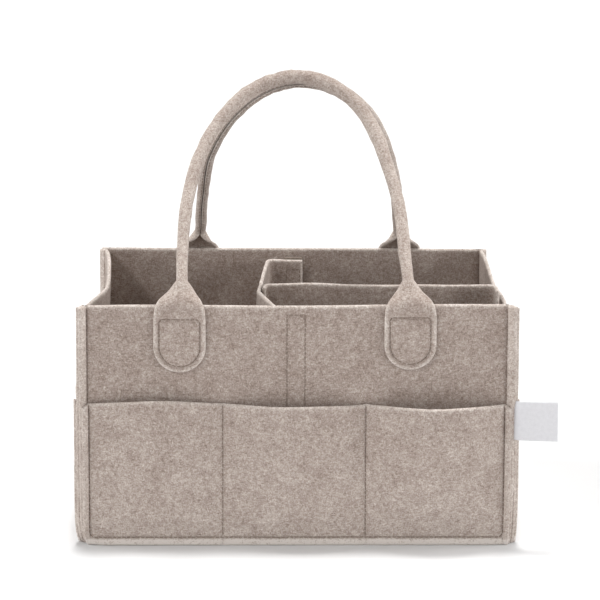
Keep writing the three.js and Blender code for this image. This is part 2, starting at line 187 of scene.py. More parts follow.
FRONT_POST = -4.0  # where the scoop of a side wall starts, behind the front corner
LEFT_BOW = 6.0  # the left wall waves out in front and in behind, the right wall bows out
RIGHT_BOW = 7.0
SIDE_BULGE = 4.5
RIM_RAISED = 0.35  # how much higher than packed the long walls' rims are in the middle
RIM_SLOPE = 0.55  # how much they rise from there to one end
RIM_LIFT = 0.25  # waves along them, highest beside the tabs
RIM_WAVE = 220.0
RIM_CREST = 0.6 * LEG_SPACING
WAVE = {"front": 0.8, "back": 0.8, "left": 0.4, "right": 0.4}  # slow unevenness of the walls
WAVE_SIZE = 130.0
CORNER_STILL = 35.0  # it dies out beside the corner seams and above the floor
FLOOR_STILL = 60.0
POCKET_WAVE = 0.25  # waves along the tops of the pockets
LONG_POCKET_WAVE = 9.0
SIDE_POCKET_WAVE = 8.0
FIN_STEPS = np.array([1, 0.97, 0.92, 0.85, 0.76, 0.64, 0.5, 0.36, 0.24, 0.14, 0.06])  # across a raw edge

# Paler felt: cut edges, partly their own paler colour and partly a painted highlight, and painted light on
# raw edges, pockets, the bottom edge and the handles
CUT_REACH = 2.3  # how far the paler colour of a cut edge, partly a painted highlight, reaches into the felt
# how much paler a cut edge is: partly the cut felt's own colour, partly a painted highlight on its softened
# rim
CUT_PALER_AND_LIT = 0.36
WALL_PAINTED_LIGHT = 0.75  # painted light on the raw edges of the walls above the pockets, which face the side lamps, where 1 is as pale as a cut edge
FIN_PAINTED_LIGHT = 0.6  # painted light on the raw edges lower down
POCKET_TOP_PAINTED_LIGHT = 0.15  # painted light on the pockets at the top
POCKET_LOW_PAINTED_LIGHT = 0.4  # painted light on the pockets at the bottom
BOTTOM_PAINTED_LIGHT = 1.6  # painted light on the bottom edge, which rolls out towards the light
# painted light on the tabs and on the handles, whose legs lean back towards the overhead light
TAB_PAINTED_LIGHT = 0.1
HANDLE_PAINTED_LIGHT = 0.45

# Seeds of the unevenness; the walls' order is added to the first three
WAVE_SEED = 40
WALL_SEED = 1
POCKET_SEED = 11
BASE_SEED = 31


# Small helpers
def smooth(x):
    x = np.clip(x, 0, 1)
    return x * x * (3 - 2 * x)


def lerp(a, b, s):
    return a + (b - a) * s


def bell(distance, width):
    return np.exp(-((distance / width) ** 2))


def ramp(x, soft=FOLD_SOFT):
    """Level before a fold and 45 degrees after it, with a rounded corner."""
    return (x + np.sqrt(x * x + soft * soft)) / 2


def ripple(points, size, seed, waves=20):
    """A smooth random field over points, with lumps about half of size across and a spread of about 1."""
    draw = np.random.default_rng(seed)
    directions = draw.normal(size=(waves, 3))
    directions /= np.linalg.norm(directions, axis=1, keepdims=True)
    lengths = size * draw.uniform(0.7, 1.8, waves)
    phases = draw.uniform(0, 2 * math.pi, waves)
    field = 0.0
    for direction, length, phase in zip(directions, lengths, phases):
        field = field + np.sin(points @ direction * (2 * math.pi / length) + phase)
    return field * math.sqrt(2 / waves)


def stops(start, end, coarse, marks=(), fine=0.6, reach=6.0):
    """Places from start to end, coarse apart, and closer together near each mark."""
    places = [start]
    while True:
        near = min((abs(places[-1] - mark) for mark in marks), default=reach)
        step = lerp(fine, coarse, min(1.0, near / reach))
        if places[-1] + 1.5 * step > end:
            break
        places.append(places[-1] + step)
    return np.array([*places, end])


def flared(points):
    """Everything below the rim stands a little wider towards the floor."""
    depth = 1 - np.minimum(points[..., 2], RIM) / RIM
    wide = points.copy()
    wide[..., 0] *= 1 + (2 * FLARE / OVERALL_WIDTH) * depth
    return wide


def outside(past_side, past_end, radius):
    """Distance outside a rounded corner, from the distances past its two straight sides; below 0 inside."""
    side, end = past_side + radius, past_end + radius
    return np.hypot(np.maximum(0, side), np.maximum(0, end)) + np.minimum(0, np.maximum(side, end)) - radius


def unit(vectors):
    return vectors / np.maximum(np.linalg.norm(vectors, axis=-1, keepdims=True), 1e-9)


def run_lengths(points):
    """Length from the first point to each point of a path."""
    steps = np.linalg.norm(np.diff(points, axis=0), axis=1)
    return np.concatenate([[0], np.cumsum(steps)])


# Walls: u runs along a wall, v up it and n out of it, from the clear inside of the box
WALLS = {
    "front": ((1, 0, 0), (0, -1, 0), (0, -HALF_DEPTH, 0)),
    "back": ((-1, 0, 0), (0, 1, 0), (0, HALF_DEPTH, 0)),
    "left": ((0, -1, 0), (-1, 0, 0), (-HALF_WIDTH, 0, 0)),
    "right": ((0, 1, 0), (1, 0, 0), (HALF_WIDTH, 0, 0)),
}
HALF = {"front": HALF_WIDTH, "back": HALF_WIDTH, "left": HALF_DEPTH, "right": HALF_DEPTH}
ORDER = {wall: place for place, wall in enumerate(WALLS)}
LONG_WALLS = {"front": 1, "back": -1}  # and the way that u runs along X
UP = np.array((0, 0, 1.0))


def on_wall(wall, u, v, n):
    along, out, origin = (np.array(part, float) for part in WALLS[wall])
    u, v, n = np.broadcast_arrays(u, v, n)
    return origin + u[..., None] * along + n[..., None] * out + v[..., None] * UP


def outward(wall):
    return np.array(WALLS[wall][1], float)


def part_of(wall):
    """What the names of a wall's pieces and nodes start with."""
    return wall if wall in LONG_WALLS else wall + "_side"


# Meshes
TREES = {}


def closed_sheet(name, inner, outer):
    """Points and faces of a closed sheet between two grids of points; it is kept for stitches laid on it."""
    rows, columns = outer.shape[:2]
    count = rows * columns
    k = np.arange(count).reshape(rows, columns)
    rim = np.concatenate([k[0, :], k[1:, -1], k[-1, -2::-1], k[-2:0:-1, 0]])
    ahead = np.roll(rim, -1)
    band = np.stack([rim, ahead, ahead + count, rim + count], axis=-1)
    quads = np.stack([k[:-1, :-1], k[:-1, 1:], k[1:, 1:], k[1:, :-1]], axis=-1).reshape(-1, 4)
    faces = np.concatenate([quads + count, quads[:, ::-1], band])
    points = np.concatenate([inner.reshape(-1, 3), outer.reshape(-1, 3)])
    TREES[name] = BVHTree.FromPolygons(points.tolist(), faces.tolist())
    return points, faces


def tube_points(centres, beside, above, radius, sides):
    """Rings of points round the centres of tubes, in the plane of beside and above."""
    turn = (np.arange(sides) * 2 * math.pi / sides)[:, None]
    ring = np.cos(turn) * beside[..., None, :] + np.sin(turn) * above[..., None, :]
    return (centres[..., None, :] + radius * ring).reshape(-1, 3)


def tube_faces(count, rings, sides, turned=False):
    """Faces of closed tubes, each made of rings of points."""
    faces = []
    for k in np.arange(count * rings * sides).reshape(count, rings, sides):
        near, far = k[:-1], k[1:]
        band = np.stack([near, np.roll(near, -1, 1), np.roll(far, -1, 1), far], axis=-1)
        faces += [*band.reshape(-1, 4).tolist(), k[0, ::-1].tolist(), k[-1].tolist()]
    return [face[::-1] for face in faces] if turned else faces


def new_piece(name, points, faces, material):
    mesh = bpy.data.meshes.new(name)
    mesh.from_pydata((np.asarray(points) * MM).tolist(), [], [list(map(int, face)) for face in faces])
    mesh.materials.append(material)
    mesh.shade_smooth()
    piece = bpy.data.objects.new(name, mesh)
    bpy.context.scene.collection.objects.link(piece)
    return piece


def settle(piece, body, slot, *nodes):
    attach(piece, body)
    if nodes:
        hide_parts(*nodes)


def normals_of(points):
    return unit(np.cross(np.gradient(points, axis=1), np.gradient(points, axis=0)))


def edge_drop(edge, soft):
    """How far a face sinks at a distance from a cut edge, so that the edge is soft."""
    inside = np.clip(1 - edge / (EDGE_STRETCH * soft), 0, 1)
    return soft * (1 - np.sqrt(1 - inside**2))


def felt_piece(
        name, middle, edge, seed, press_out=0.0, press_in=0.0, soft_out=EDGE_ROUND, soft_in=EDGE_ROUND,
        painted_light=0.0, pale_edge=None):
    """A sheet of felt round a grid of middle points; edge is each point's distance from a cut edge."""
    out = normals_of(middle)
    lumps = LUMP * ripple(middle, LUMP_SIZE, seed)
    above = FELT / 2 - edge_drop(edge, soft_out) - press_out + lumps
    below = FELT / 2 - edge_drop(edge, soft_in) - press_in - lumps
    points, faces = closed_sheet(name, middle - out * below[..., None], middle + out * above[..., None])
    piece = new_piece(name, points, faces, FELT_LOOK)
    # Paler colour: cut edges, partly their own colour and partly a painted highlight, and the painted light
    # that each piece is given
    from_pale = np.broadcast_to(edge if pale_edge is None else pale_edge, middle.shape[:2])
    cut = np.maximum(bell(from_pale, CUT_REACH), painted_light)
    piece.data.attributes.new("cut", "FLOAT", "POINT").data.foreach_set("value", np.tile(cut.ravel(), 2))
    return piece


# Materials
RIBS_PER_SCALE = 3.2  # bands of a wave texture for each unit of its scale


def put(node, values):
    """Sets a node's inputs by their names."""
    for name, value in values.items():
        node.inputs[name].default_value = value


def new_material(name):
    made = bpy.data.materials.new(name)
    made.use_nodes = True
    return made, made.node_tree, made.node_tree.nodes["Principled BSDF"]


def noise_node(tree, size, detail=2.0, stretch=(1, 1, 1), turn=(0, 0, 0)):
    """Noise in the object's own space, with features about size millimetres across."""
    place = tree.nodes.new("ShaderNodeTexCoord")
    mapping = tree.nodes.new("ShaderNodeMapping")
    put(mapping, {"Rotation": turn, "Scale": stretch})
    texture = tree.nodes.new("ShaderNodeTexNoise")
    put(texture, {"Scale": 1 / (size * MM), "Detail": detail, "Roughness": 0.5})
    tree.links.new(place.outputs["Object"], mapping.inputs["Vector"])
    tree.links.new(mapping.outputs["Vector"], texture.inputs["Vector"])
    return texture.outputs[0]


def weighted(tree, parts, total=None):
    """The sum of weight times source; without a total to add it to, it lies about a half."""
    start = 0.5 - sum(weight for _, weight in parts) / 2
    for source, weight in parts:
        step = tree.nodes.new("ShaderNodeMath")
        step.operation = "MULTIPLY_ADD"
        tree.links.new(source, step.inputs[0])
        step.inputs[1].default_value = weight
        if total is None:
            step.inputs[2].default_value = start
        else:
            tree.links.new(total, step.inputs[2])
        total = step.outputs[0]
    return total


def flecks(tree, size, stretch, turn, low, high):
    """Sparse short fibres: 1 on a fibre and 0 beside it."""
    pick = tree.nodes.new("ShaderNodeMapRange")
    pick.interpolation_type = "SMOOTHSTEP"
    put(pick, {"From Min": low, "From Max": high})
    tree.links.new(noise_node(tree, size, 1.0, stretch, turn), pick.inputs["Value"])
    return pick.outputs["Result"]


def tinted(tree, shader, value, shades):
    """Gives a shader colours along a value: shades lists (place, colour)."""
    band = tree.nodes.new("ShaderNodeValToRGB")
    while len(band.color_ramp.elements) < len(shades):
        band.color_ramp.elements.new(0.5)
    for element, (place, colour) in zip(band.color_ramp.elements, shades):
        element.position = place
        element.color = (*[(c / 255) ** 2.2 for c in colour], 1)
    tree.links.new(value, band.inputs["Fac"])
    tree.links.new(band.outputs["Color"], shader.inputs["Base Color"])


def bumped(tree, shader, height, strength, distance):
    bump = tree.nodes.new("ShaderNodeBump")
    put(bump, {"Strength": strength, "Distance": distance * MM})
    tree.links.new(height, bump.inputs["Height"])
    tree.links.new(bump.outputs["Normal"], shader.inputs["Normal"])


def felt_look(name, dark, middle, light, pale):
    made, tree, shader = new_material(name)
    fine = noise_node(tree, 0.9, stretch=(1, 0.6, 0.85), turn=(0.5, 0.9, 0.9))
    fibre = noise_node(tree, 1.1, 1.5, stretch=(0.45, 1, 1), turn=(0.3, -0.9, -0.6))
    tufts = noise_node(tree, 3.2, stretch=(1, 0.7, 1), turn=(0.1, 0.4, 0.7))
    clouds = noise_node(tree, 14)
    value = weighted(tree, [(fine, 0.9), (fibre, 0.6), (tufts, 0.5), (clouds, 0.38)])
    dark_one = flecks(tree, 1.0, (0.3, 1, 1), (0.4, 0.7, 0.5), 0.6, 0.72)
    dark_two = flecks(tree, 1.0, (1, 1, 0.3), (-0.6, 0.5, 0.8), 0.6, 0.72)
    pale_one = flecks(tree, 0.9, (1, 0.5, 0.3), (0.7, -0.6, 0.3), 0.62, 0.74)
    value = weighted(tree, [(dark_one, -0.2), (dark_two, -0.2), (pale_one, 0.16)], value)
    # Cut edges and painted light make the felt paler
    cut = tree.nodes.new("ShaderNodeAttribute")
    cut.attribute_name = "cut"
    paler = weighted(tree, [(cut.outputs["Fac"], CUT_PALER_AND_LIT)], value)
    tinted(tree, shader, paler, [(0.2, dark), (0.5, middle), (0.8, light), (1.0, pale)])
    bumped(tree, shader, value, 0.25, 0.5)
    put(shader, {"Roughness": 0.95, "Specular IOR Level": 0.15})
    put(shader, {"Sheen Weight": 0.25, "Sheen Roughness": 0.6, "Sheen Tint": (1, 0.95, 0.9, 1)})
    return made


def thread_look(name, dark, light):
    made, tree, shader = new_material(name)
    twist = noise_node(tree, 0.5)
    tinted(tree, shader, twist, [(0.3, dark), (0.7, light)])
    bumped(tree, shader, twist, 0.4, 0.15)
    put(shader, {"Roughness": 0.75, "Sheen Weight": 0.15})
    return made


def weave_look(name, dark, light, size, rough, depth):
    """Fine crossing ribs, for tape and ribbon."""
    made, tree, shader = new_material(name)
    place = tree.nodes.new("ShaderNodeTexCoord")
    ribs = []
    for axis in ("X", "Z"):
        rib = tree.nodes.new("ShaderNodeTexWave")
        rib.bands_direction = axis
        put(rib, {"Scale": 1 / (size * MM) / RIBS_PER_SCALE, "Distortion": 0.6, "Detail": 1.0})
        tree.links.new(place.outputs["Object"], rib.inputs["Vector"])
        ribs.append((rib.outputs["Fac"], 0.35))
    mottle = noise_node(tree, 2.4, 3.0)
    value = weighted(tree, [*ribs, (mottle, 0.6)])
    tinted(tree, shader, value, [(0.25, dark), (0.75, light)])
    bumped(tree, shader, value, depth, 0.2)
    put(shader, {"Roughness": rough, "Sheen Weight": 0.1})
    return made


FELT_LOOK = felt_look("felt", (131, 116, 107), (159, 145, 137), (187, 176, 168), (210, 202, 196))
# Thread darker than the felt: partly its own taupe, partly painted shade of the groove it lies in
THREAD_AND_GROOVE_SHADE_LOOK = thread_look("thread", (112, 98, 87), (142, 127, 115))
LOOP_LOOK = weave_look("loop_tape", (126, 114, 104), (164, 152, 141), 0.8, 0.95, 0.7)
HOOK_LOOK = weave_look("hook_tape", (118, 106, 97), (150, 138, 128), 0.8, 0.7, 0.5)
TAG_LOOK = weave_look("tag", (203, 203, 207), (221, 221, 225), 0.5, 0.55, 0.25)
CORD_LOOK = thread_look("cord", (196, 187, 174), (226, 219, 208))

# Sewing
STITCH = 3.5  # length of one stitch with its gap
STITCH_HALF = 0.42  # share of that from a stitch's middle to its end
STITCH_RINGS = 7
STITCH_SIDES = 6
STITCH_RAISED = 0.55  # how far its middle stands above the felt, in radii of the thread
STITCH_DIVE = 1.5  # how far its ends go down from there
STITCH_TAPER = 0.85
THREAD = 0.34  # radius of the sewing thread
SEARCH = 25.0  # how far before a path the felt under it is looked for


def sew(sheet, path, toward):
    """A row of stitches along a path, laid on a sheet that is met by going toward."""
    lengths = run_lengths(path)
    count = max(1, int(lengths[-1] / STITCH))
    share = np.linspace(-1, 1, STITCH_RINGS)
    middles = (np.arange(count)[:, None] + 0.5) * lengths[-1] / count
    places = middles + share * STITCH * STITCH_HALF
    spots = np.stack([np.interp(places, lengths, path[:, axis]) for axis in range(3)], axis=-1)
    centres, outs = np.empty_like(spots), np.empty_like(spots)
    for index in np.ndindex(count, STITCH_RINGS):
        start = Vector(spots[index] - toward * SEARCH)
        hit, out, _, _ = TREES[sheet].ray_cast(start, Vector(toward))
        centres[index] = spots[index] if hit is None else hit
        outs[index] = -toward if out is None else out
    outs = unit(outs.mean(axis=1, keepdims=True) + np.zeros_like(outs))
    centres += outs * (THREAD * (STITCH_RAISED - STITCH_DIVE * share[:, None] ** 4))
    tangents = unit(np.gradient(centres, axis=1))
    beside = unit(np.cross(tangents, outs))
    above = np.cross(beside, tangents)
    thick = THREAD * np.sqrt(1 - STITCH_TAPER * share**6)[:, None, None]
    points = tube_points(centres, beside, above, thick, STITCH_SIDES)
    return points, tube_faces(count, STITCH_RINGS, STITCH_SIDES)


def thread_piece(name, body, rows):
    """One piece for several rows of stitches: rows lists (sheet, path, toward)."""
    points, faces, start = [], [], 0
    for sheet, path, toward in rows:
        row_points, row_faces = sew(sheet, path, toward)
        points.append(row_points)
        faces += [[k + start for k in face] for face in row_faces]
        start += len(row_points)
    settle(new_piece(name, np.concatenate(points), faces, THREAD_AND_GROOVE_SHADE_LOOK), body, "felt")


def groove(distance):
    return GROOVE * bell(distance, GROOVE_WIDTH)


def quilted(distance, deeper):
    """A deeper groove, with the felt beside it drawn down as well."""
    return deeper * groove(distance) + QUILT * bell(distance, QUILT_WIDTH)


# Wall and pocket sheets
TAPE_LINE_RISE = 0.4  # the sewn outline of a tape ends this much above the divider
TAPE_LINE_TOP = DIVIDER_TOP + TAPE_LINE_RISE


def fold_at(wall, depth):
    return HALF[wall] - depth * (ROOT2 - 1)


def floor_fold(depth):
    return FLOOR + depth * (ROOT2 - 1)


def wall_sheet(wall, depth, top_at, drop, swell_at, across_marks=(), up_marks=()):
    """A sheet with raw edges: its middle points, their distance from a cut edge, u and v, and its creases."""
    half, level = HALF[wall], depth + FELT / 2
    fold, low = fold_at(wall, level), floor_fold(level)
    height = float(top_at(np.zeros(1))[0]) - low
    flat = stops(-fold, fold, GRID, (-fold, fold, *across_marks), FOLD_FINE)
    rise = stops(0, height, GRID, (0, height, *[mark - low for mark in up_marks]), EDGE_FINE) / height
    none = np.zeros(FIN_STEPS.size)
    base = np.concatenate([none - fold, flat, none + fold])[None, :]
    q = np.concatenate([FIN_STEPS, flat * 0, FIN_STEPS[::-1]])[None, :]
    t = np.concatenate([none, rise])[:, None]
    p = np.concatenate([FIN_STEPS, rise * 0])[:, None]
    plain_top = top_at(base)
    v = np.where(p > 0, lerp(low, FLOOR_TIP, p), lerp(low, plain_top - drop * q, t))
    is_round = base < 0 if wall in LONG_WALLS else base > 0
    round_height = np.where(is_round, ROUND_CORNER[0], SQUARE_CORNER[0])
    depth_share = np.where(is_round, ROUND_CORNER[1], SQUARE_CORNER[1])
    cut_in = 1 - np.sqrt(1 - np.clip(1 - v / round_height, 0, 1) ** 2)
    growth = EDGE_GROWTH
    if depth == FIRST:
        above_pocket = smooth((v - POCKET + GROWTH_FADE / 2) / GROWTH_FADE)
        growth = growth + np.where(is_round, 0, WALL_GROWTH) * above_pocket
    tip_u = lerp(half + (CORNER_EDGE + growth - level) / ROOT2, fold, cut_in * depth_share)
    u = base + np.sign(base) * q * (tip_u - fold)
    near_corner = depth_share * (1 - smooth((fold + CORNER_PAST - np.abs(u)) / CORNER_FADE))
    rolled = FLOOR_BULGE * (1 - np.exp(-ramp(low - v) / FLOOR_BULGE)) * (1 - near_corner)
    spread = ramp(np.abs(u) - fold)
    n = level + (spread**4 + rolled**4) ** 0.25
    n = n + swell_at(u, v, np.clip((v - low) / (plain_top - low), 0, 1))
    beside = np.where(q > 0, (tip_u - np.abs(u)) * ROOT2, (tip_u - fold) * ROOT2 + fold - np.abs(u))
    below = v - FLOOR_TIP
    above = plain_top - drop * q - v
    past_seam = outside(np.abs(u) - fold, low - v, SEAM_ROUND)
    return SimpleNamespace(
        middle=flared(on_wall(wall, u, v, n)),
        edge=np.minimum(np.minimum(beside, below), above),
        from_top=above,
        u=u,
        v=v,
        fin=smooth(past_seam / EDGE_FADE),
        bottom=smooth((low - v) / EDGE_FADE),
        crease=CREASE * bell(past_seam, CREASE_WIDTH),
    )


def side_top(wall, u):
    """The scoop starts right at the front corner, and a little later at the back one."""
    forward = -u if wall == "right" else u
    post = np.where(forward > 0, FRONT_POST, DIP_POST)
    return RIM - SIDE_DIP * smooth((HALF_DEPTH - post - np.abs(u)) / DIP_RAMP)


def side_swell(wall, u, rise):
    share = np.clip(u / HALF_DEPTH, -1, 1)
    if wall == "right":
        bow = RIGHT_BOW * np.cos(math.pi / 2 * share) ** 2
    else:
        bow = LEFT_BOW * np.sin(math.pi * share)
    return bow * smooth(rise) ** 2


def rim_top(u):
    """The handles hold the rim of a long wall up a little beside their tabs."""
    lift = RIM_LIFT * np.cos(2 * math.pi * (np.abs(u) - RIM_CREST) / RIM_WAVE)
    return RIM + RIM_RAISED + RIM_SLOPE * u / HALF_WIDTH + lift


def pocket_top(u, length):
    return POCKET + POCKET_WAVE * np.sin(u / length)


def wave(wall, u, v):
    """A slow unevenness that all the layers of a wall share; it dies out at the seams."""
    flat = np.stack(np.broadcast_arrays(u, v, 0.0), axis=-1)
    fade = smooth((HALF[wall] - np.abs(u)) / CORNER_STILL) * smooth(v / FLOOR_STILL)
    return WAVE[wall] * ripple(flat, WAVE_SIZE, WAVE_SEED + ORDER[wall]) * fade


def arc_of(u, edges, heights):
    total = np.zeros(np.shape(u))
    for start, end, height in zip(edges, edges[1:], heights):
        w = np.clip((u - start) / (end - start), 0, 1)
        total = total + 4 * w * (1 - w) * height
    return total


def opening(rise):
    return np.sin(math.pi / 2 * np.clip(rise, 0, 1))


def tape_lines(centre):
    return centre - TAPE_WIDTH / 2, centre + TAPE_WIDTH / 2


def from_nearest(u, lines):
    return np.minimum(np.abs(u - lines[0]), np.abs(u - lines[1]))


def wall_piece(wall, sheet, press):
    """Its raw edges lie pressed on the next wall's, and lower down between the pockets' as well."""
    covered = smooth((POCKET + COVER_FADE / 2 - sheet.v) / COVER_FADE)
    parted = smooth((PARTED_TOP - sheet.v) / PARTED_FADE)
    soft_out = lerp(EDGE_ROUND, EDGE_PRESSED, sheet.fin * covered)
    soft_in = lerp(EDGE_ROUND, lerp(EDGE_PRESSED, EDGE_PARTED, parted), sheet.fin)
    closing = LAYER_GAP / 2 * sheet.fin
    press_out = np.maximum(press, sheet.crease * (1 - covered)) - closing * covered
    press_in = press * WALL_THROUGH - closing
    # painted light on the raw edges, which face the side lamps
    painted_light = lerp(WALL_PAINTED_LIGHT, FIN_PAINTED_LIGHT, covered) * sheet.fin
    piece = felt_piece(
        part_of(wall) + "_wall", sheet.middle, sheet.edge, WALL_SEED + ORDER[wall], press_out, press_in,
        soft_out, soft_in, painted_light, sheet.from_top)
    settle(piece, "caddy", "felt", part_of(wall) + "_panel")


def pocket_piece(wall, sheet, press):
    soft_in = lerp(EDGE_ROUND, EDGE_PRESSED, sheet.fin)
    press_out = np.maximum(press, sheet.crease)
    press_in = press * POCKET_THROUGH - LAYER_GAP / 2 * sheet.fin
    # painted light on the pockets, more low down, on their raw edges, and most on the bottom edge
    painted_light = lerp(POCKET_LOW_PAINTED_LIGHT, POCKET_TOP_PAINTED_LIGHT, smooth(sheet.v / POCKET))
    painted_light = lerp(lerp(painted_light, FIN_PAINTED_LIGHT, sheet.fin), BOTTOM_PAINTED_LIGHT, sheet.bottom * sheet.fin)
    piece = felt_piece(
        wall + "_pockets", sheet.middle, sheet.edge, POCKET_SEED + ORDER[wall], press_out, press_in,
        EDGE_ROUND, soft_in, painted_light, sheet.from_top)
    settle(piece, "caddy", "felt", part_of(wall) + "_pocket")


def long_wall(wall, lines):
    """A front or back wall, with the sewn outline of the tape behind it at the places in lines."""
    sheet = wall_sheet(
        wall, FIRST, rim_top, WALL_DROP, lambda u, v, rise: wave(wall, u, v), lines, (TAPE_LINE_TOP,))
    u, v = sheet.u, sheet.v
    upright_rows = groove(from_nearest(u, lines)) * (v < TAPE_LINE_TOP)
    top_row = groove(v - TAPE_LINE_TOP) * (u > lines[0]) * (u < lines[1])
    wall_piece(wall, sheet, np.maximum(upright_rows, top_row))


def side_wall(wall, lines=()):
    def swell(u, v, rise):
        return side_swell(wall, u, rise) + wave(wall, u, v)

    sheet = wall_sheet(wall, FIRST, lambda u: side_top(wall, u), WALL_DROP, swell, lines)
    wall_piece(wall, sheet, sum(groove(sheet.u - place) * (sheet.v < SIDE_TAPE_TOP) for place in lines))


def long_pocket(wall, seams, bulge, crown):
    width = fold_at(wall, SECOND + FELT / 2)
    edges = (-width, *seams, width)

    def top(u):
        return pocket_top(u, LONG_POCKET_WAVE) + arc_of(u, edges, crown)

    def swell(u, v, rise):
        return wave(wall, u, v) + arc_of(u, edges, bulge) * opening(rise)

    sheet = wall_sheet(wall, SECOND, top, POCKET_DROP, swell, seams)
    pocket_piece(wall, sheet, quilted(from_nearest(sheet.u, seams), POCKET_DEEPER))


def side_pocket(wall):
    width = fold_at(wall, SECOND + FELT / 2)

    def swell(u, v, rise):
        bow = side_swell(wall, u, rise * POCKET / side_top(wall, u))
        return bow + wave(wall, u, v) + arc_of(u, (-width, width), (SIDE_BULGE,)) * opening(rise)

    sheet = wall_sheet(wall, SECOND, lambda u: pocket_top(u, SIDE_POCKET_WAVE), SIDE_POCKET_DROP, swell)
    pocket_piece(wall, sheet, 0.0)


long_wall("front", tape_lines(TAPE_CENTRE))
long_wall("back", tape_lines(-TAPE_CENTRE))
side_wall("left")
side_wall("right", tape_lines(SIDE_TAPE_CENTRE))
long_pocket("front", POCKET_SEAMS, FRONT_BULGE, FRONT_CROWN)
long_pocket("back", tuple(-seam for seam in reversed(POCKET_SEAMS)), BACK_BULGE, BACK_CROWN)
side_pocket("left")
side_pocket("right")

# Base: a plate whose edges are squeezed to 45 degrees in the bottom seam
BASE_FINE = 0.6  # closest spacing of its points, at its edges
BASE_REACH = 8.0
BASE_LIFT = 0.1  # how far its upper face is raised
UNDER_SHARE = 0.2  # share of that and of its lumps on the underside
CLIP_SHARE = 0.1  # share of its half width or depth that a clipped corner takes


def base_plate():
    def across(half):
        return stops(-1, 1, GRID / half, (-1, 1), BASE_FINE / half, BASE_REACH / half)

    x, y = np.meshgrid(across(HALF_WIDTH), across(HALF_DEPTH))
    clip = CORNER_CLIP * smooth((np.abs(x) + np.abs(y) - 2 + CLIP_SHARE) / CLIP_SHARE)

    def face(reach, level, share):
        wide, deep = x * (HALF_WIDTH + reach - clip), y * (HALF_DEPTH + reach - clip)
        points = np.stack([wide, deep, x * 0 + level], axis=-1)
        points[..., 2] += (BASE_LIFT + LUMP * ripple(points, LUMP_SIZE, BASE_SEED)) * share
        return flared(points)

    upper = face(-FIRST, FLOOR - FIRST, 1)
    under = face(FLOOR - FIRST * ROOT2, 0.0, UNDER_SHARE)
    piece = new_piece("base", *closed_sheet("base", under, upper), FELT_LOOK)
    settle(piece, "caddy", "felt", "base_panel")


base_plate()

# Handles: x across, h along the strip from its fold at the rim, d in from the tab's outer face
NECK_START = -12.0  # where the tab starts to narrow
NECK_END = 18.3  # where the tube has closed
NECK_POWER = 2.2  # above 1, the tab narrows late
NECK_TRIM = 0.4  # rounding where the narrowed tab meets the leg
NECK_SOFT = 2.0
CURL_START = -6.0  # where the tab's sides start to curl back
CURL_POWER = 2.3
FLAT_CURL = 0.02  # angle of the felt across a flat tab, and across the closed tube
CLOSED_CURL = 6.12
BEND = 20.0  # radius of the bend over the rim
LIFT_ACROSS = 40.0  # lengths beside the middle and below the fold over which a tab gets lifted
LIFT_BELOW = 18.0
SEAM_INSET = 4.2  # stitches inside the edge of a tab
TAB_LINE_TOP = -12.3  # top row of a tab's stitches, along the strip
TAB_LINE_ROUND = 3.0  # rounded upper corners of that row
HANDLE_COLUMNS = 60
TAB_GRID = 0.95
TAB_FINE = 0.25
TAB_REACH = 4.0
LEG_GRID = 0.9
ARCH_ROWS = 181
CURLED_WIDTH = 1.6  # how much wider the curled felt of a leg is than the leg
TAB_FADE = 15.0  # length above the fold over which the strip leaves the wall's unevenness
TOP_SHARE = 1 / 3  # share of the arch that is puckered and has painted shade
# painted shade at the top of the arch: share of the handle's painted light that it loses
TOP_PAINTED_SHADE = 0.7
PAINTED_LIGHT_START = 2.0  # where and over which length the strip takes on a handle's painted light
PAINTED_LIGHT_RUN = 14.0
# Unevenness of the tube: height, size, and how x, h and d are squeezed
TUBE_LINES = (0.1, 7, (0.6, 0.6, 0.2))
TUBE_SAG = (0.15, 45, (1, 1, 1))
TUBE_PUCKERS = (0.14, 4.5, (1, 0.12, 0.12))
# leans: how far each leg leans in, the height over which it comes to that, where it goes back, and over which
# length. sway: how far the arch goes sideways, from which height, and over which length.
FRONT_GRIP = SimpleNamespace(
    name="front_handle",
    wall="front",
    shift=FRONT_SHIFT,
    turn=np.array((1.0, 1, 1)),
    fullness=ARCH_FULLNESS,
    rise=ARCH + 2.7,
    leg=FRONT_LEG,
    leans=((1.7, 22, 35, 85), (3.8, 45, 108, 56)),
    sway=(1.2, 140, 35),
    tab_lift=2.1,
    seed=51,
)
BACK_GRIP = SimpleNamespace(
    name="back_handle",
    wall="back",
    shift=-BACK_SHIFT,
    turn=np.array((-1.0, -1, 1)),
    fullness=0.03,
    rise=ARCH - 2.5,
    leg=BACK_LEG,
    leans=((3.0, 45, 95, 60), (3.4, 30, 60, 50)),
    sway=(-0.4, 85, 60),
    tab_lift=0.0,
    seed=61,
)
GRIPS = (FRONT_GRIP, BACK_GRIP)


def leaned_in(grip, x, h):
    """Each leg leans in above its tab by its own amount, and is back on the arch further up."""
    for side, (amount, rise, start, fade) in zip((-1, 1), grip.leans):
        share = smooth(h / rise) * (1 - smooth((h - start) / fade))
        x = x - np.where(side * x > 0, side * amount * share, 0)
    amount, start, rise = grip.sway
    return x + amount * smooth((h - start) / rise)


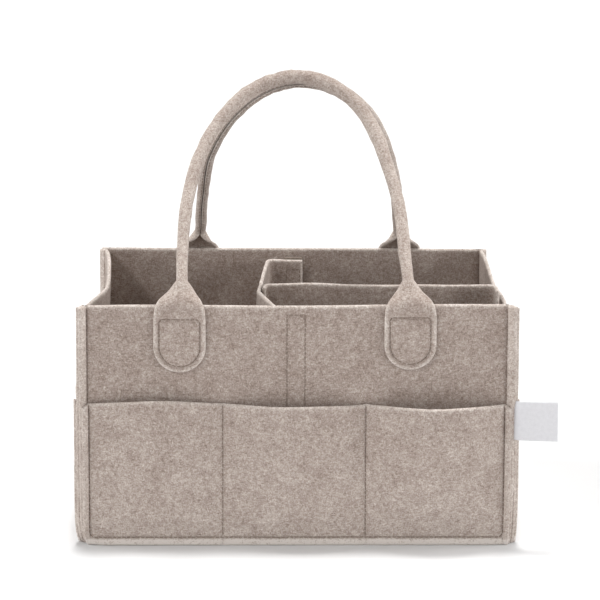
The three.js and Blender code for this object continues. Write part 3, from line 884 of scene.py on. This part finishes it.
def bent(grip, x, h, d):
    """The strip's place after it bends over the rim, below which it hangs straight."""
    h = h + grip.tab_lift * smooth(x / LIFT_ACROSS) * smooth(-h / LIFT_BELOW)
    x = leaned_in(grip, x, h)
    tangent = BEND * math.tan(LEAN / 2)
    angle = np.clip((h + tangent) / BEND, 0, LEAN)
    beyond = np.maximum(0, h + tangent - BEND * LEAN)
    below = np.minimum(0, h + tangent)
    y = -HINGE_OUT + BEND * (1 - np.cos(angle)) + beyond * math.sin(LEAN) + d * np.cos(angle)
    z = HINGE_HEIGHT - tangent + below + BEND * np.sin(angle) + beyond * math.cos(LEAN) - d * np.sin(angle)
    return np.stack(np.broadcast_arrays(x + grip.shift, y, z), axis=-1)


def strip_width(grip, h):
    q = np.clip((h - NECK_START) / (NECK_END - NECK_START), 0, 1)
    return grip.leg + ramp((TAB_WIDTH - grip.leg) * (1 - q**NECK_POWER) - NECK_TRIM, NECK_SOFT)


def section(grip, c, h):
    """Sideways and inward places across the strip (c from -1 to 1) at a height on a leg."""
    share = np.clip((h - CURL_START) / (NECK_END - CURL_START), 0, 1)
    curl = np.maximum(FLAT_CURL, CLOSED_CURL * share**CURL_POWER)
    radius = strip_width(grip, h) / (2 * np.sin(np.minimum(curl, math.pi) / 2)) - FELT / 2
    neck = (grip.leg - FELT) / 2
    front = lerp(FELT / 2, GRIP_CENTRE - neck, share**2)
    turn = curl * c / 2
    return radius * np.sin(turn), front + radius * (1 - np.cos(turn))


def tab_rows(c, side):
    """The lower part of a tab, from its round end up to where it starts to narrow."""
    height = NECK_START - TAB_FOOT
    u = c * TAB_RADIUS
    low = TAB_MIDDLE - np.sqrt(np.maximum(0, TAB_RADIUS**2 - u**2))
    rise = stops(0, height, TAB_GRID, (0,), TAB_FINE, TAB_REACH)[:-1, None] / height
    h = lerp(low, NECK_START, rise)
    return side * LEG_SPACING / 2 + u + 0 * h, h, np.full(h.shape, FELT / 2)


def leg_rows(grip, c, side):
    h = stops(NECK_START, SHOULDER, LEG_GRID)[:-1, None]
    sideways, inward = section(grip, c, h)
    return side * LEG_SPACING / 2 + sideways, h + 0 * c, inward


def arch_line(grip, angle, reach=0.0):
    """Places along the arch's centre line, or at a reach beside it."""
    across, up = np.cos(angle), np.sin(angle)
    along_x = LEG_SPACING / 2 * (up + grip.fullness * (up**2 - across**2))
    along_h = grip.rise * across
    slope = np.hypot(along_x, along_h)
    x = -LEG_SPACING / 2 * across * (1 + grip.fullness * up) + along_h / slope * reach
    h = SHOULDER + grip.rise * up - along_x / slope * reach
    return x, h


def arch_rows(grip, c):
    angle = np.linspace(0, math.pi, ARCH_ROWS)[:, None]
    radius = (lerp(grip.leg, GRIP_DIAMETER, np.sin(angle)) - FELT) / 2
    turn = CLOSED_CURL * c / 2
    x, h = arch_line(grip, angle, radius * np.sin(turn))
    return x, h, GRIP_CENTRE - radius * np.cos(turn)


def beside_leg(x):
    return np.abs(np.abs(x) - LEG_SPACING / 2)


def tab_line_distance(x, h):
    """Distance on a tab from its closed row of stitches: round below, with rounded corners above."""
    radius = TAB_RADIUS - SEAM_INSET
    upper = outside(beside_leg(x) - radius, h - TAB_LINE_TOP, TAB_LINE_ROUND)
    return np.abs(np.where(h < TAB_MIDDLE, np.hypot(beside_leg(x), h - TAB_MIDDLE) - radius, upper))


def tab_edge(grip, x, h):
    """Distance on a flat tab from its cut edge."""
    lower = TAB_RADIUS - np.hypot(beside_leg(x), h - TAB_MIDDLE)
    return np.where(h < TAB_MIDDLE, lower, strip_width(grip, h) / 2 - beside_leg(x))


def uneven(drawn, kind, seed):
    height, size, squeeze = kind
    return height * ripple(drawn * np.array(squeeze), size, seed)


def handle(grip):
    """One strip of felt: tab, leg, arch, leg and tab."""
    c = -np.cos(np.linspace(0, math.pi, HANDLE_COLUMNS + 1))[None, :]
    parts = [tab_rows(c, -1), leg_rows(grip, c, -1), arch_rows(grip, c)]
    parts += [tuple(row[::-1] for row in rows) for rows in (leg_rows(grip, -c, 1), tab_rows(-c, 1))]
    x, h, d = (np.concatenate([part[k] for part in parts]) for k in range(3))
    drawn = np.stack([x, h, d], axis=-1)
    middle = bent(grip, x, h, d)
    on_tab = 1 - smooth(h / TAB_FADE)
    middle[..., 1] -= wave(grip.wall, x + grip.shift, middle[..., 2]) * on_tab
    middle = flared(middle) * grip.turn
    spread = np.where(h < NECK_END, strip_width(grip, h) / 2 * CURLED_WIDTH, grip.leg)
    edge = np.where(h < 0, np.maximum(0, tab_edge(grip, x, h)), (1 - np.abs(c)) * spread)
    tube = smooth(h / SHOULDER)
    near_top = smooth((h - SHOULDER - ARCH * (1 - TOP_SHARE)) / (ARCH * TOP_SHARE))
    press = quilted(tab_line_distance(x, h), TAB_DEEPER) * (h < 0)
    press = press - uneven(drawn, TUBE_LINES, grip.seed + 1) * tube
    press = press - uneven(drawn, TUBE_SAG, grip.seed + 2) * tube
    press = press - uneven(drawn, TUBE_PUCKERS, grip.seed + 3) * near_top
    # painted light on the handle, with painted shade at the top of the arch
    painted_light = lerp(TAB_PAINTED_LIGHT, HANDLE_PAINTED_LIGHT, smooth((h - PAINTED_LIGHT_START) / PAINTED_LIGHT_RUN))
    piece = felt_piece(grip.name, middle, edge, grip.seed, press, painted_light=painted_light * (1 - TOP_PAINTED_SHADE * near_top))
    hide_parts(grip.name + "_cover", grip.wall + "_left_tab", grip.wall + "_right_tab")
    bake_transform(piece)


for grip in GRIPS:
    handle(grip)

# Twisted cord inside each grip
STRANDS = 3
CORD_RINGS = 160
CORD_SIDES = 6
CORD_PITCH = 12.0  # length of one turn of a strand


def grip_cord(grip):
    x, h = arch_line(grip, np.linspace(CORE_START, math.pi - CORE_START, CORD_RINGS))
    middle = bent(grip, x, h, np.full(CORD_RINGS, GRIP_CENTRE))
    along = unit(np.gradient(middle, axis=0))
    beside = unit(np.cross(along, np.array((0, math.cos(LEAN), -math.sin(LEAN)))))
    above = np.cross(beside, along)
    twist = 2 * math.pi * run_lengths(middle) / CORD_PITCH
    turn = (twist + np.arange(STRANDS)[:, None] * 2 * math.pi / STRANDS)[..., None]
    centres = middle + CORE_DIAMETER / 4 * (np.cos(turn) * beside + np.sin(turn) * above)
    points = tube_points(centres, beside, above, CORE_DIAMETER / 4, CORD_SIDES)
    faces = tube_faces(STRANDS, CORD_RINGS, CORD_SIDES, True)
    piece = new_piece(grip.wall + "_grip_cord", points * grip.turn, faces, CORD_LOOK)
    settle(piece, grip.name, "cord", grip.name + "_core")


for grip in GRIPS:
    grip_cord(grip)

# Divider
PATH_STEP = 1.6  # spacing of a panel's points along its path
CORNER_POINTS = 13
TOP_WAVE = 0.35  # waves along a panel's top edge
TOP_WAVE_SIZE = 60.0
PANEL_BOW = 0.9  # slow unevenness of a panel, which dies out towards its ends
PANEL_BOW_SIZE = 140.0
PANEL_STILL = 24.0
PANEL_FADE = 60.0


def rounded_path(corners):
    """A path seen from above, with its corners (x, y, radius) rounded."""
    path = []
    for k, (x, y, radius) in enumerate(corners):
        corner = np.array((x, y))
        if not radius:
            path.append(corner[None])
            continue
        back = unit(np.array(corners[k - 1][:2]) - corner)
        ahead = unit(np.array(corners[k + 1][:2]) - corner)
        length = radius * math.tan((math.pi - math.acos(back @ ahead)) / 2)
        s = np.linspace(0, 1, CORNER_POINTS)[:, None]
        start, end = corner + back * length, corner + ahead * length
        path.append(lerp(lerp(start, corner, s), lerp(corner, end, s), s))
    path = np.concatenate(path)
    lengths = run_lengths(path)
    places = stops(0, lengths[-1], PATH_STEP, (0, lengths[-1]), EDGE_FINE)
    return np.stack([np.interp(places, lengths, path[:, k]) for k in (0, 1)], axis=-1)


def side_follow(y, z):
    return side_swell("right", y, (z - FLOOR) / (side_top("right", y) - FLOOR))


def upright(name, node, path, seed):
    """A panel that stands along a path, with soft cut edges; near the right wall it follows its bow."""
    low = FLOOR + LAYER_GAP
    height = DIVIDER_TOP - low
    rise = stops(0, height, GRID, (0, height), EDGE_FINE)[:, None]
    lengths = run_lengths(path)
    from_end = np.minimum(lengths, lengths[-1] - lengths)
    flat = np.stack([lengths, lengths * 0, lengths * 0], axis=-1)
    z = low + rise + TOP_WAVE * ripple(flat, TOP_WAVE_SIZE, seed) * rise / height
    x, y = path[:, 0] + 0 * z, path[:, 1] + 0 * z
    follow = smooth((x / SIDE_FLAP_X - FOLLOW_START) / FOLLOW_RUN) * side_follow(y, z)
    middle = np.stack([x + follow, y, z], axis=-1)
    face = np.stack([lengths + 0 * z, z, 0 * z], axis=-1)
    bow = PANEL_BOW * ripple(face, PANEL_BOW_SIZE, seed + 1) * smooth((from_end - PANEL_STILL) / PANEL_FADE)
    middle = middle + normals_of(middle) * bow[..., None]
    edge = np.minimum(from_end, np.minimum(rise, height - rise))
    piece = felt_piece(name, flared(middle), edge, seed + 2)
    settle(piece, "divider", "felt", node)


def cross_x(y):
    return lerp(DIVIDER_X, DIVIDER_BEND[0], (FLAP_OUT - y) / (FLAP_OUT - DIVIDER_BEND[1]))


CROSS_PATH = rounded_path([
    (FRONT_FLAP_START + FLAP, -FLAP_OUT, 0),
    (FRONT_FLAP_START, -FLAP_OUT, FLAP_RADIUS),
    (*DIVIDER_BEND, SWEEP_RADIUS),
    (DIVIDER_X, FLAP_OUT, FLAP_RADIUS),
    (DIVIDER_X + BACK_FLAP, FLAP_OUT, 0),
])
LONG_PATH = rounded_path([
    (cross_x(-JOIN_FLAP) + JOIN_STEP, -JOIN_FLAP, 0),
    (cross_x(0) + JOIN_STEP, 0, JOIN_RADIUS),
    (SIDE_FLAP_X, 0, SIDE_FLAP_RADIUS),
    (SIDE_FLAP_X, -FLAP - HOOK_CUT, 0),
])
upright("cross_panel", "cross_divider", CROSS_PATH, 71)
upright("long_panel", "long_divider", LONG_PATH, 81)

# Hook-and-loop tape: a woven strip with rows of tiny loops or hooks standing on one face
RIBBON_EDGE = 0.25  # how far in from its edges a ribbon is thinned
TAPE_BACKING = 0.55
TAPE_THINNED = 0.6
TAPE_GRID = (1.4, 2.5)  # spacing of its points across and up
TAPE_REACH = (2.0, 3.0)  # where they start to lie closer, beside its edges
TAPE_WEAVE = 0.03
TAPE_WEAVE_SIZE = 3.0
PILE_SPACING = 1.5
PILE_MARGIN = 2.4  # bare tape at both edges together
PILE_STRAY = 0.3  # how far a root is off its place
PILE_ROOT = 0.8  # where in the backing it starts
PILE_THREAD = 0.11
PILE_RINGS = 5
PILE_SIDES = 3
PILE_SHORTEST = 0.75  # share of the full size
PILE_REACH = 0.9  # width of a bent thread, in its heights
HOOK_STRAY = 0.25  # how far the hooks turn off their common way
HOOK_BEND = math.pi * 0.8
LOOP = SimpleNamespace(word="loop", body="caddy", look=LOOP_LOOK, back=-FIRST, face=-1, low=TAPE_BOTTOM)
HOOK = SimpleNamespace(word="hook", body="divider", look=HOOK_LOOK, back=HOOK_BACK, face=1, low=HOOK_BOTTOM)
TAPED = [
    SimpleNamespace(
        wall=wall, node=wall, centre=side * TAPE_CENTRE, loop_top=DIVIDER_TOP, hook_top=HOOK_TOP,
        hook_width=TAPE_WIDTH, panel="cross_panel", loop_seed=90 + side, hook_seed=94 + side)
    for wall, side in LONG_WALLS.items()
]
TAPED.append(SimpleNamespace(
    wall="right", node="side", centre=SIDE_TAPE_CENTRE, loop_top=SIDE_TAPE_TOP, hook_top=SIDE_TAPE_TOP,
    hook_width=TAPE_WIDTH - HOOK_CUT, panel="long_panel", loop_seed=97, hook_seed=98))


def thinned(ply, share, edge):
    """Half the thickness of a ribbon, which loses a share at its edges."""
    return ply / 2 * (1 - share * np.exp(-edge / RIBBON_EDGE))


def pile(seed, roots, out, hooked):
    """Tiny bent threads on the roots; a hook ends in the air, a loop comes back down."""
    draw = np.random.default_rng(seed)
    count = len(roots)
    turn = draw.normal(0, HOOK_STRAY, count) if hooked else draw.uniform(0, 2 * math.pi, count)
    lean = np.cos(turn)[:, None] * UP + np.sin(turn)[:, None] * np.cross(out, UP)
    bend = np.linspace(0, HOOK_BEND if hooked else math.pi, PILE_RINGS)
    size = (TAPE - TAPE_BACKING) * draw.uniform(PILE_SHORTEST, 1.0, count)[:, None, None]
    reach = ((1 - np.cos(bend)) / 2)[None, :, None] * lean[:, None, :]
    rise = np.sin(np.minimum(bend, HOOK_BEND))[None, :, None] * out
    centres = roots[:, None, :] + size * (PILE_REACH * reach + rise)
    across = unit(np.cross(lean, out))[:, None, :]
    away = unit(np.cross(np.gradient(centres, axis=1), across))
    points = tube_points(centres, across, away, PILE_THREAD, PILE_SIDES)
    return points, tube_faces(count, PILE_RINGS, PILE_SIDES)


def wall_bulge(wall, u, v):
    """How far a wall stands out of its plane, where a tape lies on it."""
    return wave(wall, u, v) + (side_follow(u, v) if wall == "right" else 0)


def tape_strip(place, kind, width, high, seed):
    """kind.back is where the strip's backing lies on n, and kind.face is 1 or -1, the way its pile stands."""
    wall, centre, low = place.wall, place.centre, kind.low
    u = stops(-width / 2, width / 2, TAPE_GRID[0], (-width / 2, width / 2), RIBBON_EDGE, TAPE_REACH[0])
    u = centre + u[None, :]
    v = stops(low, high, TAPE_GRID[1], (low, high), RIBBON_EDGE, TAPE_REACH[1])[:, None]
    edge = np.minimum(np.minimum(u - u[0, 0], u[0, -1] - u), np.minimum(v - low, high - v))
    level = kind.back + kind.face * TAPE_BACKING / 2
    middle = flared(on_wall(wall, u, v, level + wall_bulge(wall, u, v)))
    out = normals_of(middle)
    half = thinned(TAPE_BACKING, TAPE_THINNED, edge)[..., None]
    weave = TAPE_WEAVE * ripple(middle, TAPE_WEAVE_SIZE, seed)[..., None]
    name = f"{part_of(wall)}_{kind.word}_strip"
    points, faces = closed_sheet(name, middle - out * half, middle + out * (half + weave))
    draw = np.random.default_rng(seed)
    across, up = (int((span - PILE_MARGIN) / PILE_SPACING) for span in (width, high - low))
    pile_u = centre + (np.arange(across) - (across - 1) / 2)[None, :] * PILE_SPACING
    pile_v = (low + high) / 2 + (np.arange(up) - (up - 1) / 2)[:, None] * PILE_SPACING
    pile_u = pile_u + draw.uniform(-PILE_STRAY, PILE_STRAY, (up, across))
    pile_v = pile_v + draw.uniform(-PILE_STRAY, PILE_STRAY, (up, across))
    root = kind.back + kind.face * TAPE_BACKING * PILE_ROOT
    roots = flared(on_wall(wall, pile_u, pile_v, root + wall_bulge(wall, pile_u, pile_v))).reshape(-1, 3)
    pile_points, pile_faces = pile(seed, roots, outward(wall) * kind.face, kind is HOOK)
    faces = faces.tolist() + [[k + len(points) for k in face] for face in pile_faces]
    piece = new_piece(name, np.concatenate([points, pile_points]), faces, kind.look)
    settle(piece, kind.body, kind.word + "_tape", f"{place.node}_{kind.word}_tape")


for place in TAPED:
    tape_strip(place, LOOP, LOOP_WIDTH, place.loop_top, place.loop_seed)
    tape_strip(place, HOOK, place.hook_width, place.hook_top, place.hook_seed)

# Tag: a bare ribbon, folded at its free end
TAG_PLY = 0.34
TAG_FOLD = 0.36  # radius of its fold
TAG_IN = 0.6  # how far inside the tips of the raw edges it starts
TAG_LONGER = 2.6  # how much longer than packed it is drawn
TAG_TIGHTER = 1.8  # how much tighter than packed it turns away from the corner
TAG_TWIST = 1.3  # how far its free end is twisted, rippled and raised
TAG_RIPPLE = 0.35
TAG_RIPPLE_SIZE = 7.0
TAG_RISE = 0.5
TAG_THINNED = 0.5
TAG_GRID = 1.2
TAG_FINE = 0.2
TAG_FINE_REACH = 2.0
FOLD_POINTS = 9
LINE_POINTS = 200


def tag():
    start = CORNER_EDGE - TAG_IN
    reach = TAG_REACH + TAG_LONGER
    straight, turn = reach - TAG_FOLD, math.pi * TAG_FOLD
    ply = stops(0, straight, TAG_GRID)
    s = np.concatenate([ply[:-1], straight + np.linspace(0, turn, FOLD_POINTS), straight + turn + ply[1:]])
    bend = np.clip((s - straight) / TAG_FOLD, 0, math.pi)
    along = np.minimum(s, straight) - np.maximum(0, s - straight - turn) + TAG_FOLD * np.sin(bend)
    offset = TAG_FOLD * np.cos(bend)
    fine = np.linspace(0, reach, LINE_POINTS)
    heading = lerp(math.pi / 4, TAG_END_ANGLE, smooth(fine / TAG_TURN * TAG_TIGHTER))
    step = fine[1]
    line_x = HALF_WIDTH + start / ROOT2 + np.concatenate([[0], np.cumsum(np.cos(heading[1:]) * step)])
    line_y = -HALF_DEPTH - start / ROOT2 - np.concatenate([[0], np.cumsum(np.sin(heading[1:]) * step)])
    aim = np.interp(along, fine, heading)
    x = np.interp(along, fine, line_x) - offset * np.sin(aim)
    y = np.interp(along, fine, line_y) - offset * np.cos(aim)
    rise = stops(0, TAG_HEIGHT, TAG_GRID, (0, TAG_HEIGHT), TAG_FINE, TAG_FINE_REACH)[:, None]
    free = np.clip(along / reach, 0, 1) ** 2
    curl = TAG_TWIST * (rise / TAG_HEIGHT - 0.5) + TAG_RIPPLE * np.sin(rise / TAG_RIPPLE_SIZE)
    z = TAG_TOP - TAG_HEIGHT + rise + TAG_RISE * free
    middle = np.stack(np.broadcast_arrays(x + 0 * rise, y + free * curl, z), axis=-1)
    half = thinned(TAG_PLY, TAG_THINNED, np.minimum(rise, TAG_HEIGHT - rise) + 0 * s)[..., None]
    normal = normals_of(middle)
    middle = flared(middle)
    points, faces = closed_sheet("side_tag", middle - normal * half, middle + normal * half)
    piece = new_piece("side_tag", points, faces, TAG_LOOK)
    settle(piece, "caddy", "tag", "label_tag")


tag()

# Rows of stitches
ROW_OUT = 20.0  # where the paths of rows lie on n, before they are laid on the felt
ROW_IN = -4.0
HOOK_ROW = -FLAP_DEPTH - 6.0
SEAM_LAP = 6.0  # how far the upper corner seams go down behind a pocket
SEAM_END = 3.0  # how far below a top edge the seams end
TAPE_LAP = 20.0  # how far the outline of a tape goes down behind a pocket
ROW_INSET = 1.0  # how far inside a pocket or a tape a row ends
HOOK_INSET = 1.2  # rows inside the long edges of a hook tape
JOIN_ROWS = (-4.5, -10.5)  # where the two rows of the panels' join lie, on Y
JOIN_START = 6.0  # how far above the floor seam they start
JOIN_OFF = 4.0  # their paths, off the felt
GRIP_ROW = 1.6  # rows beside the closed edges of a grip
GRIP_ROW_END = 0.02


def wall_row(wall, sheet, u, v, n=ROW_OUT):
    """A row on the outside of a wall, or seen from inside the box where n is below 0."""
    return sheet, flared(on_wall(wall, u, v, n)), outward(wall) * -np.sign(n)


def line(start, end):
    return np.linspace(start, end, 60)


def outline(left, right, low, high):
    """u and v round three sides of a sewn strip that runs down out of sight."""
    corners = np.array([(left, low), (left, high), (right, high), (right, low)], float)
    lengths = run_lengths(corners)
    places = np.linspace(0, lengths[-1], 200)
    return [np.interp(places, lengths, corners[:, k]) for k in (0, 1)]


def box_seams():
    """The corner seams and the bottom seam, sewn in the crease of the raw edges."""
    rows = []
    turn = np.linspace(0, math.pi / 2, 12)
    upper_v = line(POCKET - SEAM_LAP, RIM - SEAM_END)
    for wall in WALLS:
        for side in (-1, 1):
            upper_u = side * (fold_at(wall, FIRST + FELT) + SEAM_STEP)
            rows.append(wall_row(wall, part_of(wall) + "_wall", upper_u, upper_v))
        reach, low = fold_at(wall, OUTSIDE) + SEAM_STEP, floor_fold(OUTSIDE) - SEAM_STEP
        corner_u = SEAM_ROUND * (1 - np.cos(turn)) - reach
        corner_v = SEAM_ROUND * (1 - np.sin(turn)) + low
        top = [POCKET - SEAM_END]
        u = np.concatenate([[-reach], corner_u, -corner_u[::-1], [reach]])
        v = np.concatenate([top, corner_v, corner_v[::-1], top])
        rows.append(wall_row(wall, wall + "_pockets", u, v))
    return rows


def pocket_seams():
    v = line(floor_fold(OUTSIDE) + ROW_INSET, POCKET - ROW_INSET)
    return [
        wall_row(wall, wall + "_pockets", side * seam, v)
        for wall, side in LONG_WALLS.items() for seam in POCKET_SEAMS
    ]


def tape_rows():
    """The outlines of the tapes, on the outside of the walls."""
    rows = []
    for place in TAPED:
        top = TAPE_LINE_TOP if place.wall in LONG_WALLS else SIDE_TAPE_TOP - ROW_INSET
        u, v = outline(*tape_lines(place.centre), POCKET - TAPE_LAP, top)
        rows.append(wall_row(place.wall, part_of(place.wall) + "_wall", u, v))
    return rows


def inner_tape_rows():
    """The same rows seen on the loop tapes, inside the box."""
    rows = []
    for place in TAPED:
        u, v = outline(*tape_lines(place.centre), TAPE_BOTTOM + ROW_INSET, place.loop_top - LOOP_MARGIN)
        rows.append(wall_row(place.wall, part_of(place.wall) + "_loop_strip", u, v, ROW_IN))
    return rows


def tab_path(grip, side):
    radius = TAB_RADIUS - SEAM_INSET
    under = np.linspace(math.pi, 2 * math.pi, 40)
    over = np.linspace(0, math.pi, 20)
    side_step = np.where(over < math.pi / 2, 1, -1) * (radius - TAB_LINE_ROUND)
    u = np.concatenate([radius * np.cos(under), side_step + TAB_LINE_ROUND * np.cos(over), [-radius]])
    top = TAB_LINE_TOP - TAB_LINE_ROUND + TAB_LINE_ROUND * np.sin(over)
    h = np.concatenate([TAB_MIDDLE + radius * np.sin(under), top, [TAB_MIDDLE]])
    return flared(bent(grip, side * LEG_SPACING / 2 + u, h, 0 * h)) * grip.turn


def tab_stitches():
    inward = np.array((0, 1.0, 0))
    return [(grip.name, tab_path(grip, side), inward * grip.turn) for grip in GRIPS for side in (-1, 1)]


def grip_rows(grip):
    """Two rows along the closed edges at the back of the grip."""
    angle = np.linspace(GRIP_ROW_END, math.pi - GRIP_ROW_END, 240)
    behind = np.full(angle.shape, GRIP_CENTRE + GRIP_DIAMETER / 2)
    toward = np.array((0, -math.cos(LEAN), math.sin(LEAN))) * grip.turn
    rows = []
    for side in (-1, 1):
        x, h = arch_line(grip, angle, side * GRIP_ROW)
        rows.append((grip.name, bent(grip, x, h, behind) * grip.turn, toward))
    return rows


def divider_rows():
    """The sewn join of the two panels, and the outlines of the hook tapes on the flaps."""
    rows = []
    z = line(FLOOR + JOIN_START, DIVIDER_TOP - SEAM_END)
    for y in JOIN_ROWS:
        points = np.stack([cross_x(y) + JOIN_STEP + JOIN_OFF + 0 * z, y + 0 * z, z], axis=-1)
        rows.append(("long_panel", flared(points), np.array((-1.0, 0, 0))))
    low = HOOK_BOTTOM + ROW_INSET
    for place in TAPED:
        half = place.hook_width / 2 - HOOK_INSET
        u, v = outline(place.centre - half, place.centre + half, low, place.hook_top - ROW_INSET)
        rows.append(wall_row(place.wall, place.panel, u, v, HOOK_ROW))
    return rows


thread_piece("box_thread", "caddy", box_seams())
thread_piece("pocket_thread", "caddy", pocket_seams())
thread_piece("tape_thread", "caddy", tape_rows())
thread_piece("inner_tape_thread", "caddy", inner_tape_rows())
thread_piece("tab_thread", "caddy", tab_stitches())
for grip in GRIPS:
    thread_piece(grip.wall + "_grip_thread", grip.name, grip_rows(grip))
thread_piece("divider_thread", "divider", divider_rows())

# Camera, floor and light
EYE = (-19, -1515, 504.5)
YAW = math.radians(0.854)
PITCH = math.radians(12.662)
ROLL = math.radians(0.22)
FOCAL_PIXELS = 1961
PHOTO_PIXELS = 600
SENSOR = 36
FAR_CLIP = 50  # metres
FLOOR_COLOUR = (0.75, 0.76, 0.772, 1)
FLOOR_HALF = 6000
SKY_COLOUR = (1, 0.985, 0.965, 1)
SKY_STRENGTH = 0.12
LAMP_COLOUR = (1, 0.985, 0.97)
# Where each lamp is, how many degrees wide, and its share of the light that makes a white face white
LAMPS = {
    "overhead": ((0, 0.3, 2.0), 10, 0.84),
    "upper_left": ((-1.2, 0.15, 1.2), 14, 0.18),
    "upper_right": ((1.2, 0.15, 1.2), 14, 0.28),
    "key": ((-0.9, -1.0, 1.0), 16, 0.26),
    "fill": ((0.5, -1.2, 1.0), 16, 0.05),
    "left": ((-1.6, -0.58, 0.06), 40, 0.46),
    "right": ((1.6, -0.58, 0.2), 40, 0.56),
}


def camera():
    lens = bpy.data.cameras.new("camera")
    lens.sensor_width = SENSOR
    lens.lens = SENSOR * FOCAL_PIXELS / PHOTO_PIXELS
    lens.clip_end = FAR_CLIP
    look = Vector((math.sin(YAW) * math.cos(PITCH), math.cos(YAW) * math.cos(PITCH), -math.sin(PITCH)))
    seat = bpy.data.objects.new("camera", lens)
    seat.location = Vector(EYE) * MM
    seat.rotation_mode = "QUATERNION"
    seat.rotation_quaternion = look.to_track_quat("-Z", "Y") @ Quaternion((0, 0, 1), ROLL)
    bpy.context.scene.collection.objects.link(seat)
    bpy.context.scene.camera = seat


def seen_rays(tree):
    """1 for what the camera, a reflection or a clear material sees, and 0 for light on the object."""
    path = tree.nodes.new("ShaderNodeLightPath")
    seen = path.outputs["Is Camera Ray"]
    for kind in ("Is Glossy Ray", "Is Transmission Ray"):
        larger = tree.nodes.new("ShaderNodeMath")
        larger.operation = "MAXIMUM"
        tree.links.new(seen, larger.inputs[0])
        tree.links.new(path.outputs[kind], larger.inputs[1])
        seen = larger.outputs[0]
    return seen


def world():
    made = bpy.data.worlds.new("world")
    bpy.context.scene.world = made
    made.use_nodes = True
    tree = made.node_tree
    light = tree.nodes["Background"]
    put(light, {"Color": SKY_COLOUR, "Strength": SKY_STRENGTH})
    white = tree.nodes.new("ShaderNodeBackground")
    put(white, {"Color": (1, 1, 1, 1)})
    mix = tree.nodes.new("ShaderNodeMixShader")
    tree.links.new(seen_rays(tree), mix.inputs["Fac"])
    tree.links.new(light.outputs[0], mix.inputs[1])
    tree.links.new(white.outputs[0], mix.inputs[2])
    tree.links.new(mix.outputs[0], tree.nodes["World Output"].inputs["Surface"])


def floor():
    made, _, shader = new_material("floor")
    put(shader, {"Base Color": FLOOR_COLOUR, "Roughness": 0.9, "Specular IOR Level": 0.1})
    corners = np.array([(-1, -1, 0), (1, -1, 0), (1, 1, 0), (-1, 1, 0)], float)
    new_piece("floor", corners * FLOOR_HALF, [(0, 1, 2, 3)], made)


def lamp(name, place, spread, share):
    """A far, wide lamp in the direction of place."""
    light = bpy.data.lights.new(name, "SUN")
    light.angle = math.radians(spread)
    light.energy = math.pi * share
    light.color = LAMP_COLOUR
    made = bpy.data.objects.new(name, light)
    made.location = place
    made.rotation_mode = "QUATERNION"
    made.rotation_quaternion = (-Vector(place)).to_track_quat("-Z", "Y")
    bpy.context.scene.collection.objects.link(made)


camera()
world()
floor()
for name, (place, spread, share) in LAMPS.items():
    lamp(name, place, spread, share)
bpy.context.scene.view_settings.view_transform = "Standard"
